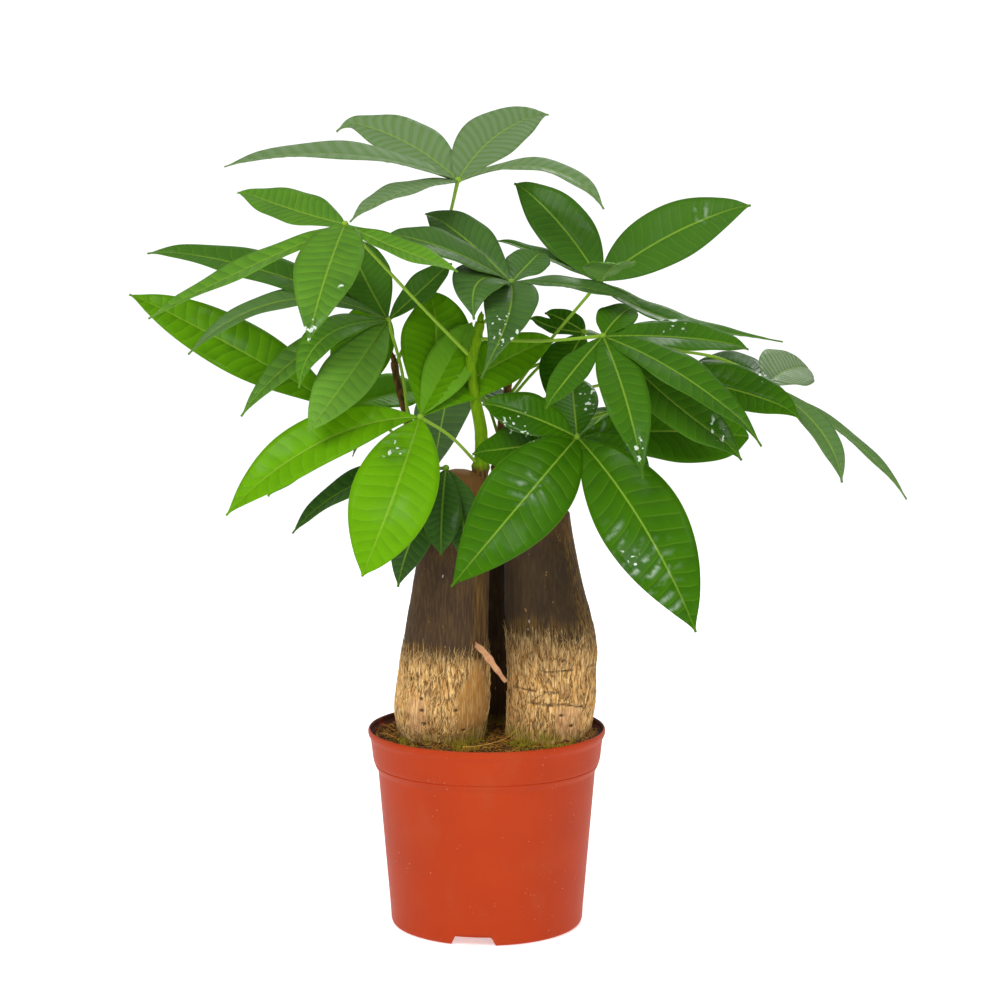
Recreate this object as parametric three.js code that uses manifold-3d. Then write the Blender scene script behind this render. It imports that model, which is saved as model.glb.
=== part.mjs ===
// A potted money tree (Pachira): three fat cut stumps in a plastic nursery pot, leafy shoots that grow out of
// the stumps, and palmate leaves whose leaflets all meet at a hub on the end of a long stalk.
// Millimetres, +Z up, -Y is the front. The plant is laid out round the pot's axis, and moved at the end so that
// the origin is under the middle of its outline, at the surface that the pot stands on.
import * as THREE from 'three';
import { mergeVertices } from 'three/addons/utils/BufferGeometryUtils.js';
import Module from 'manifold-3d';

const wasm = await Module();
wasm.setup();

// Pot: its outline is [radius, height] from the foot up, by way of the rounded corner of the foot, the tapered
// wall, the step under the rim band, and the band itself.
const POT_OUTLINE = [
  [60, 0], [60.8, 2], [61.3, 10], [68.7, 98], [70.2, 100.4], [71.3, 103], [71.9, 106], [73.3, 118], [74.9, 121],
  [75, 123.5],
];
const POT_HEIGHT = 124.5;
const POT_WALL = 1.6;
const POT_FACETS = 32;
const LIP_ROUNDING = 0.8;
const FOOT_RING_WIDTH = 2;
const FLOOR_THICKNESS = 2;
const NOTCH_COUNT = 3;
const NOTCH_HEIGHT = 5.5;
const NOTCH_TOP_WIDTH = 23;
const NOTCH_FOOT_WIDTH = 28;
const NOTCH_TURN = -8;
const DRAIN_COUNT = 6;
const DRAIN_RADIUS = 4;
const DRAIN_CIRCLE = 38;
const DRAIN_SIDES = 10;

// Soil: its level, the height of its bumps, the length that they repeat over, and the radii of its top's rings
const SOIL_LEVEL = 118;
const SOIL_RELIEF = 1.2;
const SOIL_WAVE = 30;
const SOIL_RINGS = [58, 36, 0];

// Stumps and shoots: the lobes round a stump are [how many, how deep as a share of its radius].
const STUMP_SIDES = 18;
const STUMP_LOBES = [[3, 0.018], [5, 0.01]];
const SHOOT_SIDES = 8;
const SHOOT_STEPS = 10;
const SHOOT_FLARE = 0.5;
const SHOOT_FLARE_SHARE = 0.08;

// Leaves: the powers shape a leaflet's outline at its foot and at its tip.
const BLADE_THICKNESS = 0.8;
const BLADE_FOLD = 0.16;
const BLADE_STATIONS = 7;
const BLADE_FOOT_WIDTH = 1.6;
const BLADE_FOOT_POWER = 1.1;
const BLADE_TIP_POWER = 1;
const BLADE_DRIP = 1.5;
const DRIP_START = 0.84;
const STALK_RADIUS = 1;
const STALK_SWELLING = 0.35;
const STALK_SIDES = 5;
const STALK_STEPS = 3;
const HUB_RADIUS = 2.1;

// The bark flap's thickness and steps, and the gap that touching pieces keep
const FLAP_THICKNESS = 1.2;
const FLAP_STEPS = 6;
const GAP = 0.3;

// Leaves and shoots are laid out as they are seen from the front. A sighting is [column, row, depth]: the
// column and row of a 1000 by 1000 picture, and the depth in mm behind the pot's axis. The eye looks from there.
const EYE = new THREE.Vector3(8.4, -1500, 448.5);
const EYE_TILT = THREE.MathUtils.degToRad(6.835);
const EYE_FOCUS = 2415;
const PICTURE_CENTRE = 500;

function sighted([column, row, depth]) {
  const ahead = new THREE.Vector3(0, Math.cos(EYE_TILT), -Math.sin(EYE_TILT));
  const upward = new THREE.Vector3(0, Math.sin(EYE_TILT), Math.cos(EYE_TILT));
  const ray = ahead.addScaledVector(upward, (PICTURE_CENTRE - row) / EYE_FOCUS);
  ray.x += (column - PICTURE_CENTRE) / EYE_FOCUS;
  return ray.multiplyScalar((depth - EYE.y) / ray.y).add(EYE);
}

// Materials
const terracottaPlastic = { color: 0xc4502c, roughness: 0.5 };
const peat = { color: 0x4a3420, roughness: 1 };
const bark = { color: 0x8a6a44, roughness: 0.9 };
const greenStem = { color: 0x7fa63a, roughness: 0.55 };
const woodyStem = { color: 0x5c4a30, roughness: 0.8 };
const leafGreen = { color: 0x2f7a1c, roughness: 0.35 };

// Stumps. Each ring is [height, centre x, radius], from the buried foot to the cut top. depth is the centre's y.
const stumps = {
  trunk_left: {
    depth: -10,
    rings: [
      [75, -27, 20], [100, -27.2, 21.5], [118, -27.6, 24.6], [129, -29, 27.8], [140, -28.8, 29.2],
      [160, -27.4, 28.2], [182, -26, 26.4], [212, -23.2, 24], [245, -20, 21.2], [266, -17, 17.5],
      [280, -14.5, 13.5], [289, -13, 11],
    ],
  },
  trunk_right: {
    depth: -7,
    rings: [
      [75, 37, 21], [100, 37.5, 23.5], [118, 38, 25], [130, 39.7, 26.2], [142, 41, 27.2], [160, 41.5, 27.2],
      [178, 41.4, 27.9], [192, 39.6, 27.2], [206, 37.4, 25.6], [232, 34.5, 22.8], [252, 33.5, 20],
      [266, 34, 17.8],
    ],
  },
  trunk_back: {
    depth: 42,
    rings: [
      [75, 4, 20], [100, 4.5, 22], [122, 5, 23], [150, 5.5, 22.6], [180, 6, 21.4], [210, 6, 19.8],
      [240, 5, 17.6], [262, 4, 15.6], [276, 3, 13.6],
    ],
  },
};

// Shoots, each from its foot in a stump to its growing tip. radii are those of its foot and its tip.
const shoots = {
  shoot_front: {
    path: [
      [478, 486, -8], [481, 462, -9], [481, 432, -10], [474, 392, -11], [471, 362, -12], [477, 340, -12],
      [480, 322, -12],
    ],
    radii: [4.6, 2.6],
    material: greenStem,
  },
  shoot_left: {
    path: [[441, 520, -2], [431, 492, 0], [419, 462, 4], [407, 417, 10], [398, 384, 15], [394, 362, 18]],
    radii: [3.6, 2.1],
    material: woodyStem,
  },
  shoot_right: {
    path: [[531, 524, -2], [524, 490, 4], [515, 450, 11], [509, 412, 17], [507, 380, 21]],
    radii: [3.8, 2.6],
    material: woodyStem,
  },
  shoot_back: {
    path: [[492, 520, 43], [495, 480, 48], [500, 440, 56], [503, 405, 62]],
    radii: [3.6, 2.4],
    material: woodyStem,
  },
};

// Leaves. hub is where the leaflets meet. The stalk grows from the share `from` of the way up its shoot, by way
// of the sightings in `stalk`. tilt is how far the upper side leans from the sky towards the front, in degrees.
// A leaflet has its tip and its width in mm, and `over`, which its midrib passes half way. It may have its own
// tilt, its own powers for the foot and the point of its outline, and its own drip, by which its tip bends down.
const leaves = {
  leaf_top: {
    shoot: 'shoot_left', from: 0.97, stalk: [[424, 300, 28], [448, 222, 26]], hub: [458, 180, 4], tilt: 30,
    leaflets: [
      { tip: [224, 164, -20], over: [345, 154, -14], width: 33, tilt: 20, point: 1.15 },
      { tip: [336, 119, 52], over: [402, 140, 36], width: 35, tilt: 46, foot: 0.95, point: 1.2, drip: 8 },
      { tip: [549, 112, 58], over: [497, 135, 36], width: 38, tilt: 46, foot: 0.85, point: 1.05 },
      { tip: [604, 204, -24], over: [541, 167, -10], width: 21, tilt: 22, drip: 3 },
      { tip: [350, 219, -66], over: [398, 193, -36], width: 25, tilt: 14, foot: 0.9, point: 1.3 },
    ],
  },
  leaf_upper_left: {
    shoot: 'shoot_front', from: 0.78, stalk: [[420, 305, -28]], hub: [345, 224, -52], tilt: 32,
    leaflets: [
      { tip: [237, 189, -20], over: [292, 209, -38], width: 32, tilt: 36, foot: 0.9, drip: 2 },
      { tip: [148, 316, -84], over: [255, 264, -72], width: 22, tilt: 24 },
      { tip: [308, 341, -118], over: [325, 278, -96], width: 39, foot: 0.75, point: 1.2 },
      { tip: [458, 269, -70], over: [400, 249, -64], width: 20, tilt: 30 },
      { tip: [318, 264, 10], over: [334, 242, -18], width: 30 },
    ],
  },
  leaf_centre: {
    shoot: 'shoot_front', from: 0.97, stalk: [[494, 312, -14]], hub: [511, 282, -24], tilt: 34,
    leaflets: [
      { tip: [425, 211, 6], over: [467, 240, -8], width: 31, tilt: 42 },
      { tip: [386, 233, -52], over: [450, 250, -44], width: 30, tilt: 34 },
      { tip: [542, 250, 14], over: [527, 265, -3], width: 27, tilt: 40 },
      { tip: [640, 303, -34], over: [575, 286, -32], width: 24, tilt: 16 },
      { tip: [481, 376, -82], over: [507, 320, -62], width: 33, foot: 0.65, point: 1.6 },
      { tip: [474, 317, -66], over: [479, 281, -50], width: 33, tilt: 40, foot: 0.9, point: 1.15 },
    ],
  },
  leaf_upper_right: {
    shoot: 'shoot_right', from: 0.88, stalk: [[548, 343, 28], [573, 313, 22]], hub: [600, 281, 14], tilt: 50,
    leaflets: [
      { tip: [514, 181, 50], over: [560, 224, 36], width: 35, tilt: 66, foot: 0.85 },
      { tip: [751, 203, 40], over: [672, 234, 32], width: 38, tilt: 70, foot: 0.85 },
      { tip: [618, 262, -44], over: [609, 269, -16], width: 32, tilt: 14 },
      { tip: [496, 238, 40], over: [548, 257, 31], width: 15, tilt: 18 },
      { tip: [783, 339, -14], over: [670, 319, 2], width: 22, tilt: 18, foot: 0.95, point: 1.35 },
    ],
  },
  leaf_right: {
    shoot: 'shoot_front', from: 0.9, stalk: [[540, 341, -30]], hub: [603, 336, -52], tilt: 40,
    leaflets: [
      { tip: [546, 406, -104], over: [573, 371, -84], width: 19, tilt: 50 },
      { tip: [643, 472, -118], over: [625, 396, -98], width: 28, foot: 0.95, point: 1.15, drip: 4 },
      { tip: [762, 438, -96], over: [682, 375, -86], width: 29, tilt: 34, point: 1.2, drip: 5 },
      { tip: [742, 452, -72], over: [672, 401, -66], width: 32, tilt: 52, drip: 5 },
      { tip: [749, 347, -40], over: [680, 337, -46], width: 29, tilt: 36 },
      { tip: [633, 305, -14], over: [616, 319, -36], width: 24, tilt: 40 },
    ],
  },
  leaf_front: {
    shoot: 'shoot_right', from: 0.62, stalk: [[540, 440, -24]], hub: [577, 437, -58], tilt: 64,
    leaflets: [
      { tip: [451, 586, -96], over: [520, 504, -88], width: 50, tilt: 74, foot: 0.9, point: 1.1, drip: 0.5 },
      { tip: [696, 630, -98], over: [640, 520, -90], width: 51, tilt: 76, point: 1.05 },
      { tip: [482, 402, -50], over: [530, 416, -58], width: 28, tilt: 56 },
      { tip: [472, 452, -34], over: [524, 446, -50], width: 30, tilt: 60 },
      { tip: [571, 374, -4], over: [574, 404, -30], width: 30, tilt: 40 },
      { tip: [749, 436, -16], over: [660, 431, -38], width: 44, tilt: 64, point: 0.65, drip: 0.5 },
      { tip: [650, 466, -62], over: [614, 454, -62], width: 28, tilt: 60 },
    ],
  },
  leaf_low_left: {
    shoot: 'shoot_front', from: 0.12, stalk: [[450, 436, -24]], hub: [420, 417, -36], tilt: 56,
    leaflets: [
      { tip: [362, 576, -92], over: [394, 494, -80], width: 50, tilt: 66, foot: 0.95, point: 0.95, drip: 0.5 },
      { tip: [226, 513, -52], over: [322, 441, -46], width: 37, tilt: 48 },
      { tip: [556, 338, 14], over: [490, 368, 4], width: 34, tilt: 62 },
      { tip: [428, 288, 12], over: [436, 346, 0], width: 44, tilt: 60 },
      { tip: [472, 320, 2], over: [450, 366, -10], width: 30, tilt: 60 },
    ],
  },
  leaf_left: {
    shoot: 'shoot_left', from: 0.62, stalk: [[402, 372, 6]], hub: [388, 320, 4], tilt: 46,
    leaflets: [
      { tip: [308, 431, -62], over: [351, 373, -38], width: 34, tilt: 52, drip: 0.5 },
      { tip: [346, 234, 36], over: [364, 276, 22], width: 34, tilt: 50 },
      { tip: [452, 261, 10], over: [422, 289, 8], width: 22, tilt: 40 },
      { tip: [147, 250, 24], over: [262, 270, 18], width: 29, tilt: 36, point: 1.1, drip: 2 },
      { tip: [188, 352, -10], over: [286, 300, 0], width: 18, tilt: 36 },
      { tip: [241, 414, -30], over: [312, 347, -16], width: 20, tilt: 44 },
      { tip: [299, 386, -52], over: [326, 336, -36], width: 23, tilt: 40, foot: 0.9, point: 1.1 },
    ],
  },
  leaf_far_left: {
    shoot: 'shoot_left', from: 0.42, stalk: [[376, 420, 14]], hub: [344, 410, 22], tilt: 50,
    leaflets: [
      { tip: [129, 292, 70], over: [240, 350, 50], width: 39, tilt: 54 },
      { tip: [430, 392, 60], over: [388, 394, 42], width: 32, tilt: 44 },
      { tip: [268, 494, 6], over: [304, 452, 14], width: 25, tilt: 50 },
      { tip: [376, 296, 62], over: [362, 350, 46], width: 40, tilt: 60 },
      { tip: [330, 403, 100], over: [338, 405, 62], width: 28, tilt: 30 },
    ],
  },
  leaf_low: {
    shoot: 'shoot_left', from: 0.3, stalk: [[442, 468, -14]], hub: [446, 468, -28], tilt: 50,
    leaflets: [
      { tip: [398, 584, -44], over: [415, 530, -44], width: 25, tilt: 70, point: 1.1, drip: 2 },
      { tip: [441, 553, -62], over: [442, 512, -54], width: 24, tilt: 70 },
      { tip: [461, 558, -56], over: [462, 514, -48], width: 22, tilt: 70 },
      { tip: [292, 531, -30], over: [364, 480, -34], width: 24, tilt: 30 },
    ],
  },
  leaf_far_right: {
    shoot: 'shoot_right', from: 0.98, hub: [766, 385, 38], tilt: 34,
    stalk: [[530, 368, 34], [565, 356, 50], [620, 344, 50], [680, 351, 44], [724, 360, 40]],
    leaflets: [
      { tip: [809, 366, 92], over: [785, 371, 62], width: 38, tilt: 56 },
      { tip: [907, 497, 20], over: [848, 436, 30], width: 14, tilt: 16, point: 1.2 },
      { tip: [842, 480, 0], over: [818, 427, 20], width: 17, tilt: 40 },
      { tip: [694, 362, 98], over: [732, 362, 76], width: 26, tilt: 22 },
    ],
  },
  leaf_right_behind: {
    shoot: 'shoot_right', from: 0.8, stalk: [[570, 392, 30]], hub: [644, 376, 38], tilt: 50,
    leaflets: [
      { tip: [800, 414, 2], over: [728, 388, 24], width: 34, tilt: 52, drip: 3 },
      { tip: [730, 434, 20], over: [690, 410, 28], width: 32, tilt: 56 },
      { tip: [730, 392, 112], over: [690, 382, 80], width: 36, tilt: 20 },
      { tip: [640, 378, 132], over: [642, 372, 88], width: 36, tilt: 10 },
    ],
  },
  leaf_centre_behind: {
    shoot: 'shoot_back', from: 0.97, stalk: [[540, 366, 60]], hub: [584, 332, 48], tilt: 40,
    leaflets: [
      { tip: [545, 311, 50], over: [570, 323, 52], width: 15, tilt: 72, foot: 0.8, point: 0.8 },
      { tip: [549, 398, 18], over: [566, 364, 32], width: 32, tilt: 50 },
      { tip: [530, 316, 42], over: [553, 327, 46], width: 11, tilt: 50 },
      { tip: [640, 350, 120], over: [612, 340, 86], width: 32, tilt: 20 },
    ],
  },
  leaf_back_left: {
    shoot: 'shoot_back', from: 0.7, stalk: [[482, 396, 84]], hub: [452, 384, 112], tilt: 10,
    leaflets: [
      { tip: [318, 436, 102], over: [380, 396, 110], width: 34 },
      { tip: [352, 454, 178], over: [396, 402, 152], width: 38 },
      { tip: [432, 474, 208], over: [444, 410, 170], width: 40 },
      { tip: [528, 456, 184], over: [496, 404, 154], width: 38 },
      { tip: [552, 436, 108], over: [504, 400, 112], width: 30 },
    ],
  },
  leaf_back_right: {
    shoot: 'shoot_back', from: 0.45, stalk: [[560, 430, 80]], hub: [614, 410, 104], tilt: 10,
    leaflets: [
      { tip: [512, 470, 150], over: [558, 424, 132], width: 32 },
      { tip: [562, 494, 194], over: [590, 430, 156], width: 38 },
      { tip: [622, 474, 200], over: [620, 424, 160], width: 34 },
      { tip: [706, 440, 158], over: [670, 418, 134], width: 38 },
      { tip: [716, 446, 88], over: [666, 420, 96], width: 32 },
    ],
  },
};

// The sliver of bark that has come away from the left stump, from its root to its tip, with its widths there
const flap = {
  path: [[474, 643, -26], [484, 652, -31], [495, 667, -31], [506, 682, -28]],
  widths: [5.5, 1.6],
};

const plant = new THREE.Group();

function toSolid(geometry) {
  const bare = geometry.clone();
  bare.deleteAttribute('normal');
  bare.deleteAttribute('uv');
  const merged = mergeVertices(bare);
  return new wasm.Manifold(new wasm.Mesh({
    numProp: 3,
    vertProperties: merged.getAttribute('position').array,
    triVerts: new Uint32Array(merged.index.array),
  }));
}

function addNode(name, solid, material) {
  const made = largestPiece(solid).getMesh();
  const geometry = new THREE.BufferGeometry();
  geometry.setAttribute('position', new THREE.BufferAttribute(made.vertProperties, 3));
  geometry.setIndex(new THREE.BufferAttribute(made.triVerts, 1));
  geometry.computeVertexNormals();
  const mesh = new THREE.Mesh(geometry, new THREE.MeshStandardMaterial(material));
  mesh.name = name;
  plant.add(mesh);
}

// A cut can leave a scrap beside the piece, and only the piece stays.
function largestPiece(solid) {
  return solid.decompose().reduce((best, piece) => (piece.volume() > best.volume() ? piece : best));
}

// Moves each vertex of a geometry to the place that a function gives for it.
function reshape(geometry, place) {
  const position = geometry.getAttribute('position');
  const v = new THREE.Vector3();
  for (let i = 0; i < position.count; i++) {
    v.fromBufferAttribute(position, i);
    position.setXYZ(i, ...place(v).toArray());
  }
  return geometry;
}

// A rod along a smooth curve. radiusAt(t, angle) is its radius at the share t of its length. growth makes it
// larger on every side, for the hole that it stands in.
function rod(points, radiusAt, sides, steps, growth = 0) {
  const curve = new THREE.CatmullRomCurve3(points);
  const frames = curve.computeFrenetFrames(steps, false);
  const cylinder = new THREE.CylinderGeometry(1, 1, 1, sides, steps);
  return toSolid(reshape(cylinder, (v) => {
    const t = v.y + 0.5;
    const station = Math.round(t * steps);
    const overrun = growth * (Number(station === steps) - Number(station === 0));
    const radius = radiusAt(t, Math.atan2(v.z, v.x)) + growth;
    return curve.getPointAt(t)
      .addScaledVector(frames.tangents[station], overrun)
      .addScaledVector(frames.binormals[station], v.x * radius)
      .addScaledVector(frames.normals[station], v.z * radius);
  }));
}

// A ribbon along a smooth rib, its broad side turned towards `face`. widthAt(t) is its width at the share t of
// the rib, and fold is how steeply both halves rise from the rib.
function ribbon(rib, face, widthAt, { thickness, halves, steps, stationAt = (share) => share, fold = 0 }) {
  const slab = new THREE.BoxGeometry(1, 1, 1, halves, 1, steps);
  return toSolid(reshape(slab, (v) => {
    const t = stationAt(v.z + 0.5);
    const tangent = rib.getTangent(t);
    const across = new THREE.Vector3().crossVectors(face, tangent).normalize();
    const normal = new THREE.Vector3().crossVectors(tangent, across);
    const side = v.x * widthAt(t);
    return rib.getPoint(t)
      .addScaledVector(across, side)
      .addScaledVector(normal, fold * Math.abs(side) + v.y * thickness);
  }));
}

// The radius of the pot's outside at a height
function potRadius(height) {
  const upper = Math.max(1, POT_OUTLINE.findIndex(([, z]) => z >= height));
  const [lowRadius, low] = POT_OUTLINE[upper - 1];
  const [highRadius, high] = POT_OUTLINE[upper];
  return THREE.MathUtils.mapLinear(height, low, high, lowRadius, highRadius);
}

// The outline of the space in the pot from its floor up to a height, clear of the floor and the wall by a gap
function spaceInPot(top, gap) {
  const floor = NOTCH_HEIGHT + FLOOR_THICKNESS + gap;
  const between = POT_OUTLINE.map(([, z]) => z).filter((z) => z > floor && z < top);
  return [floor, ...between, top].map((z) => [potRadius(z) - POT_WALL - gap, z]);
}

// The solid that an outline of [radius, height] points makes when it turns about the upright axis
function turned(outline) {
  const profile = outline.map(([radius, z]) => new THREE.Vector2(radius, z));
  return new THREE.LatheGeometry(profile, POT_FACETS).rotateX(Math.PI / 2);
}

// Pot: a tapered wall with a deep rim band, a raised floor and a foot ring
function potShell() {
  const [footRadius] = POT_OUTLINE[0];
  const [rimRadius, bandTop] = POT_OUTLINE.at(-1);
  const underside = [
    [0, NOTCH_HEIGHT], [footRadius - FOOT_RING_WIDTH, NOTCH_HEIGHT], [footRadius - FOOT_RING_WIDTH, 0],
  ];
  const lip = [[rimRadius - LIP_ROUNDING, POT_HEIGHT], [rimRadius - POT_WALL, POT_HEIGHT]];
  const inside = [...spaceInPot(bandTop, 0).reverse(), [0, NOTCH_HEIGHT + FLOOR_THICKNESS]];
  return toSolid(turned([...underside, ...POT_OUTLINE, ...lip, ...inside]));
}

function notchCutter() {
  const below = -1;
  const reach = 20;
  const outline = new THREE.Shape([
    new THREE.Vector2(-NOTCH_FOOT_WIDTH / 2, below),
    new THREE.Vector2(NOTCH_FOOT_WIDTH / 2, below),
    new THREE.Vector2(NOTCH_TOP_WIDTH / 2, NOTCH_HEIGHT),
    new THREE.Vector2(-NOTCH_TOP_WIDTH / 2, NOTCH_HEIGHT),
  ]);
  return new THREE.ExtrudeGeometry(outline, { depth: reach, bevelEnabled: false })
    .rotateX(Math.PI / 2)
    .translate(0, -POT_OUTLINE[0][0] + reach / 2, 0);
}

function makePot() {
  let pot = potShell();
  for (let i = 0; i < NOTCH_COUNT; i++) {
    const turn = THREE.MathUtils.degToRad(NOTCH_TURN + (i * 360) / NOTCH_COUNT);
    pot = pot.subtract(toSolid(notchCutter().rotateZ(turn)));
  }
  for (let i = 0; i < DRAIN_COUNT; i++) {
    const drain = new THREE.CylinderGeometry(DRAIN_RADIUS, DRAIN_RADIUS, 4 * FLOOR_THICKNESS, DRAIN_SIDES)
      .rotateX(Math.PI / 2)
      .translate(0, DRAIN_CIRCLE, NOTCH_HEIGHT + FLOOR_THICKNESS / 2)
      .rotateZ(THREE.MathUtils.degToRad((i * 360) / DRAIN_COUNT));
    pot = pot.subtract(toSolid(drain));
  }
  return pot;
}

// Soil: a plug that follows the inside of the pot, with a bumpy top and a plain hole for each stump
function makeSoil() {
  const side = spaceInPot(SOIL_LEVEL, GAP);
  const plug = turned([[0, side[0][1]], ...side, ...SOIL_RINGS.map((radius) => [radius, SOIL_LEVEL])]);
  let soil = toSolid(reshape(plug, (v) => {
    const onTop = v.z > SOIL_LEVEL - GAP;
    const bump = Math.sin((2 * Math.PI * v.x) / SOIL_WAVE) * Math.cos((2 * Math.PI * v.y) / SOIL_WAVE);
    return new THREE.Vector3(v.x, v.y, onTop ? v.z + SOIL_RELIEF * bump : v.z);
  }));
  for (const stump of Object.values(stumps)) soil = soil.subtract(stumpSolid(stump, GAP));
  return soil;
}

function stumpSolid({ depth, rings }, growth = 0) {
  const points = rings.map(([z, x]) => new THREE.Vector3(x, depth, z));
  const foot = points[0].z;
  const height = points.at(-1).z - foot;
  const girth = rings.map(([z, , radius]) => new THREE.Vector2((z - foot) / height, radius));
  const widths = new THREE.SplineCurve(girth);
  return rod(points, (t, angle) => {
    const lobes = STUMP_LOBES.map(([count, deep]) => deep * Math.sin(count * (angle + t) + depth));
    return widths.getPoint(t).y * lobes.reduce((whole, lobe) => whole + lobe, 1);
  }, STUMP_SIDES, rings.length, growth);
}

function shootSolid({ path, radii: [foot, tip] }, growth = 0) {
  const flare = (t) => 1 + SHOOT_FLARE * Math.exp(-t / SHOOT_FLARE_SHARE);
  const radiusAt = (t) => THREE.MathUtils.lerp(foot * flare(t), tip, t);
  return rod(path.map(sighted), radiusAt, SHOOT_SIDES, SHOOT_STEPS, growth);
}

// Width at the share t of a leaflet's length, as a share of its widest: a narrow foot and a pointed tip
function bladeOutline(t, foot, point) {
  const full = (s) => s ** foot * (1 - s) ** point;
  return full(t) / full(foot / (foot + point));
}

// Stations crowd towards both ends of a blade, where its outline turns fastest.
function bladeStation(share) {
  return 0.5 * share + 0.25 * (1 - Math.cos(Math.PI * share));
}

// An arched midrib through three points, which bends down over its last part by the height that is given
class Midrib extends THREE.QuadraticBezierCurve3 {
  constructor(start, control, end, drip) {
    super(start, control, end);
    this.drip = drip;
  }

  getPoint(t, target = new THREE.Vector3()) {
    super.getPoint(t, target);
    target.z -= this.drip * (Math.max(0, t - DRIP_START) / (1 - DRIP_START)) ** 2;
    return target;
  }
}

// A leaflet is a thin ribbon along an arched midrib, folded a little upwards along the rib.
function leafletSolid(hub, leaflet) {
  const { tip, over, width, tilt, foot = BLADE_FOOT_POWER, point = BLADE_TIP_POWER, drip = BLADE_DRIP } = leaflet;
  const end = sighted(tip);
  const lean = THREE.MathUtils.degToRad(tilt);
  const face = new THREE.Vector3(0, -Math.sin(lean), Math.cos(lean));
  const chordMiddle = hub.clone().lerp(end, 0.5);
  const control = sighted(over).multiplyScalar(2).sub(chordMiddle);
  const rib = new Midrib(hub, control, end, drip);
  const widthAt = (t) => Math.max(BLADE_FOOT_WIDTH, width * bladeOutline(t, foot, point));
  return ribbon(rib, face, widthAt, {
    thickness: BLADE_THICKNESS, halves: 2, steps: BLADE_STATIONS, stationAt: bladeStation, fold: BLADE_FOLD,
  });
}

// A leaf is its stalk, thicker at both ends, the hub and the leaflets, cut clear of the shoot that it grows on.
function leafSolid({ shoot, from, stalk, hub, tilt, leaflets }) {
  const centre = sighted(hub);
  const foot = new THREE.CatmullRomCurve3(shoots[shoot].path.map(sighted)).getPointAt(from);
  const route = [foot, ...stalk.map(sighted), centre];
  const radiusAt = (t) => STALK_RADIUS * (1 + STALK_SWELLING * (2 * t - 1) ** 6);
  const petiole = rod(route, radiusAt, STALK_SIDES, STALK_STEPS * (stalk.length + 1));
  const knuckle = toSolid(new THREE.IcosahedronGeometry(HUB_RADIUS).translate(...centre.toArray()));
  const blades = leaflets.map((leaflet) => leafletSolid(centre, { tilt, ...leaflet }));
  return wasm.Manifold.union([petiole, knuckle, ...blades]).subtract(shootSolid(shoots[shoot], GAP));
}

function makeFlap() {
  const rib = new THREE.CatmullRomCurve3(flap.path.map(sighted));
  const front = new THREE.Vector3(0, -1, 0);
  const strip = ribbon(rib, front, (t) => THREE.MathUtils.lerp(...flap.widths, t), {
    thickness: FLAP_THICKNESS, halves: 1, steps: FLAP_STEPS,
  });
  return strip.subtract(stumpSolid(stumps.trunk_left, GAP));
}

addNode('pot', makePot(), terracottaPlastic);
addNode('soil', makeSoil(), peat);
for (const [name, stump] of Object.entries(stumps)) addNode(name, stumpSolid(stump), bark);
addNode('bark_flap', makeFlap(), bark);
const stumpHoles = wasm.Manifold.union(Object.values(stumps).map((stump) => stumpSolid(stump, GAP)));
for (const [name, shoot] of Object.entries(shoots)) {
  addNode(name, shootSolid(shoot).subtract(stumpHoles), shoot.material);
}
for (const [name, leaf] of Object.entries(leaves)) addNode(name, leafSolid(leaf), leafGreen);

const middle = new THREE.Box3().setFromObject(plant).getCenter(new THREE.Vector3());
plant.position.set(-middle.x, -middle.y, 0);

export default plant;
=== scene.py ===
import math
from dataclasses import dataclass

import bpy
import numpy as np
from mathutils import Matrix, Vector


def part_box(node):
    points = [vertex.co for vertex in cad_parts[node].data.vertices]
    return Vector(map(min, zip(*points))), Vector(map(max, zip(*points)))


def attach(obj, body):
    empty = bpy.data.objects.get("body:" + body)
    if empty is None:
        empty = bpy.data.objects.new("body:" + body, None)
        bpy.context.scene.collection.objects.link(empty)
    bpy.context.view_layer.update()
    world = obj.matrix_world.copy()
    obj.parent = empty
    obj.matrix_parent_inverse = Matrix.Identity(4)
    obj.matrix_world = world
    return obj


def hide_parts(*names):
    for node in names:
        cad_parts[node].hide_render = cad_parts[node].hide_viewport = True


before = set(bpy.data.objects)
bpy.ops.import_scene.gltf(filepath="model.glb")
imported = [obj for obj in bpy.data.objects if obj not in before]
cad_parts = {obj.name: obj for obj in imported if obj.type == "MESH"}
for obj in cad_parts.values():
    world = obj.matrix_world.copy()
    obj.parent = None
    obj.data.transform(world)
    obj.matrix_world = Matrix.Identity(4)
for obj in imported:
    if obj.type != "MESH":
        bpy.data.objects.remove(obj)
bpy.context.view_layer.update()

bl_info = {
    "name": "Potted Money Tree",
    "version": (1, 0, 0),
    "blender": (4, 5, 0),
    "location": "3D View > Sidebar > Money Tree",
    "description": "Builds a potted money tree: stumps, shoots, seven-fingered leaves, soil and a pot",
    "category": "Add Mesh",
}

MM = 0.001
POT_LOW, POT_HIGH = (np.array(corner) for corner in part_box("pot"))
POT_AXIS = np.array([(POT_LOW[0] + POT_HIGH[0]) / 2, (POT_LOW[1] + POT_HIGH[1]) / 2, 0.0])

# The plant is laid out as it is seen from the front. A sighting is (column, row, depth): the column and row
# of a 1000 by 1000 picture, and the depth in mm behind the pot's axis. The eye is where it is seen from.
EYE = POT_AXIS + np.array([8.4, -1500.0, 448.5]) * MM
EYE_TILT = math.radians(6.835)
EYE_FOCUS = 2415
PICTURE_SIZE = 1000

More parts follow.
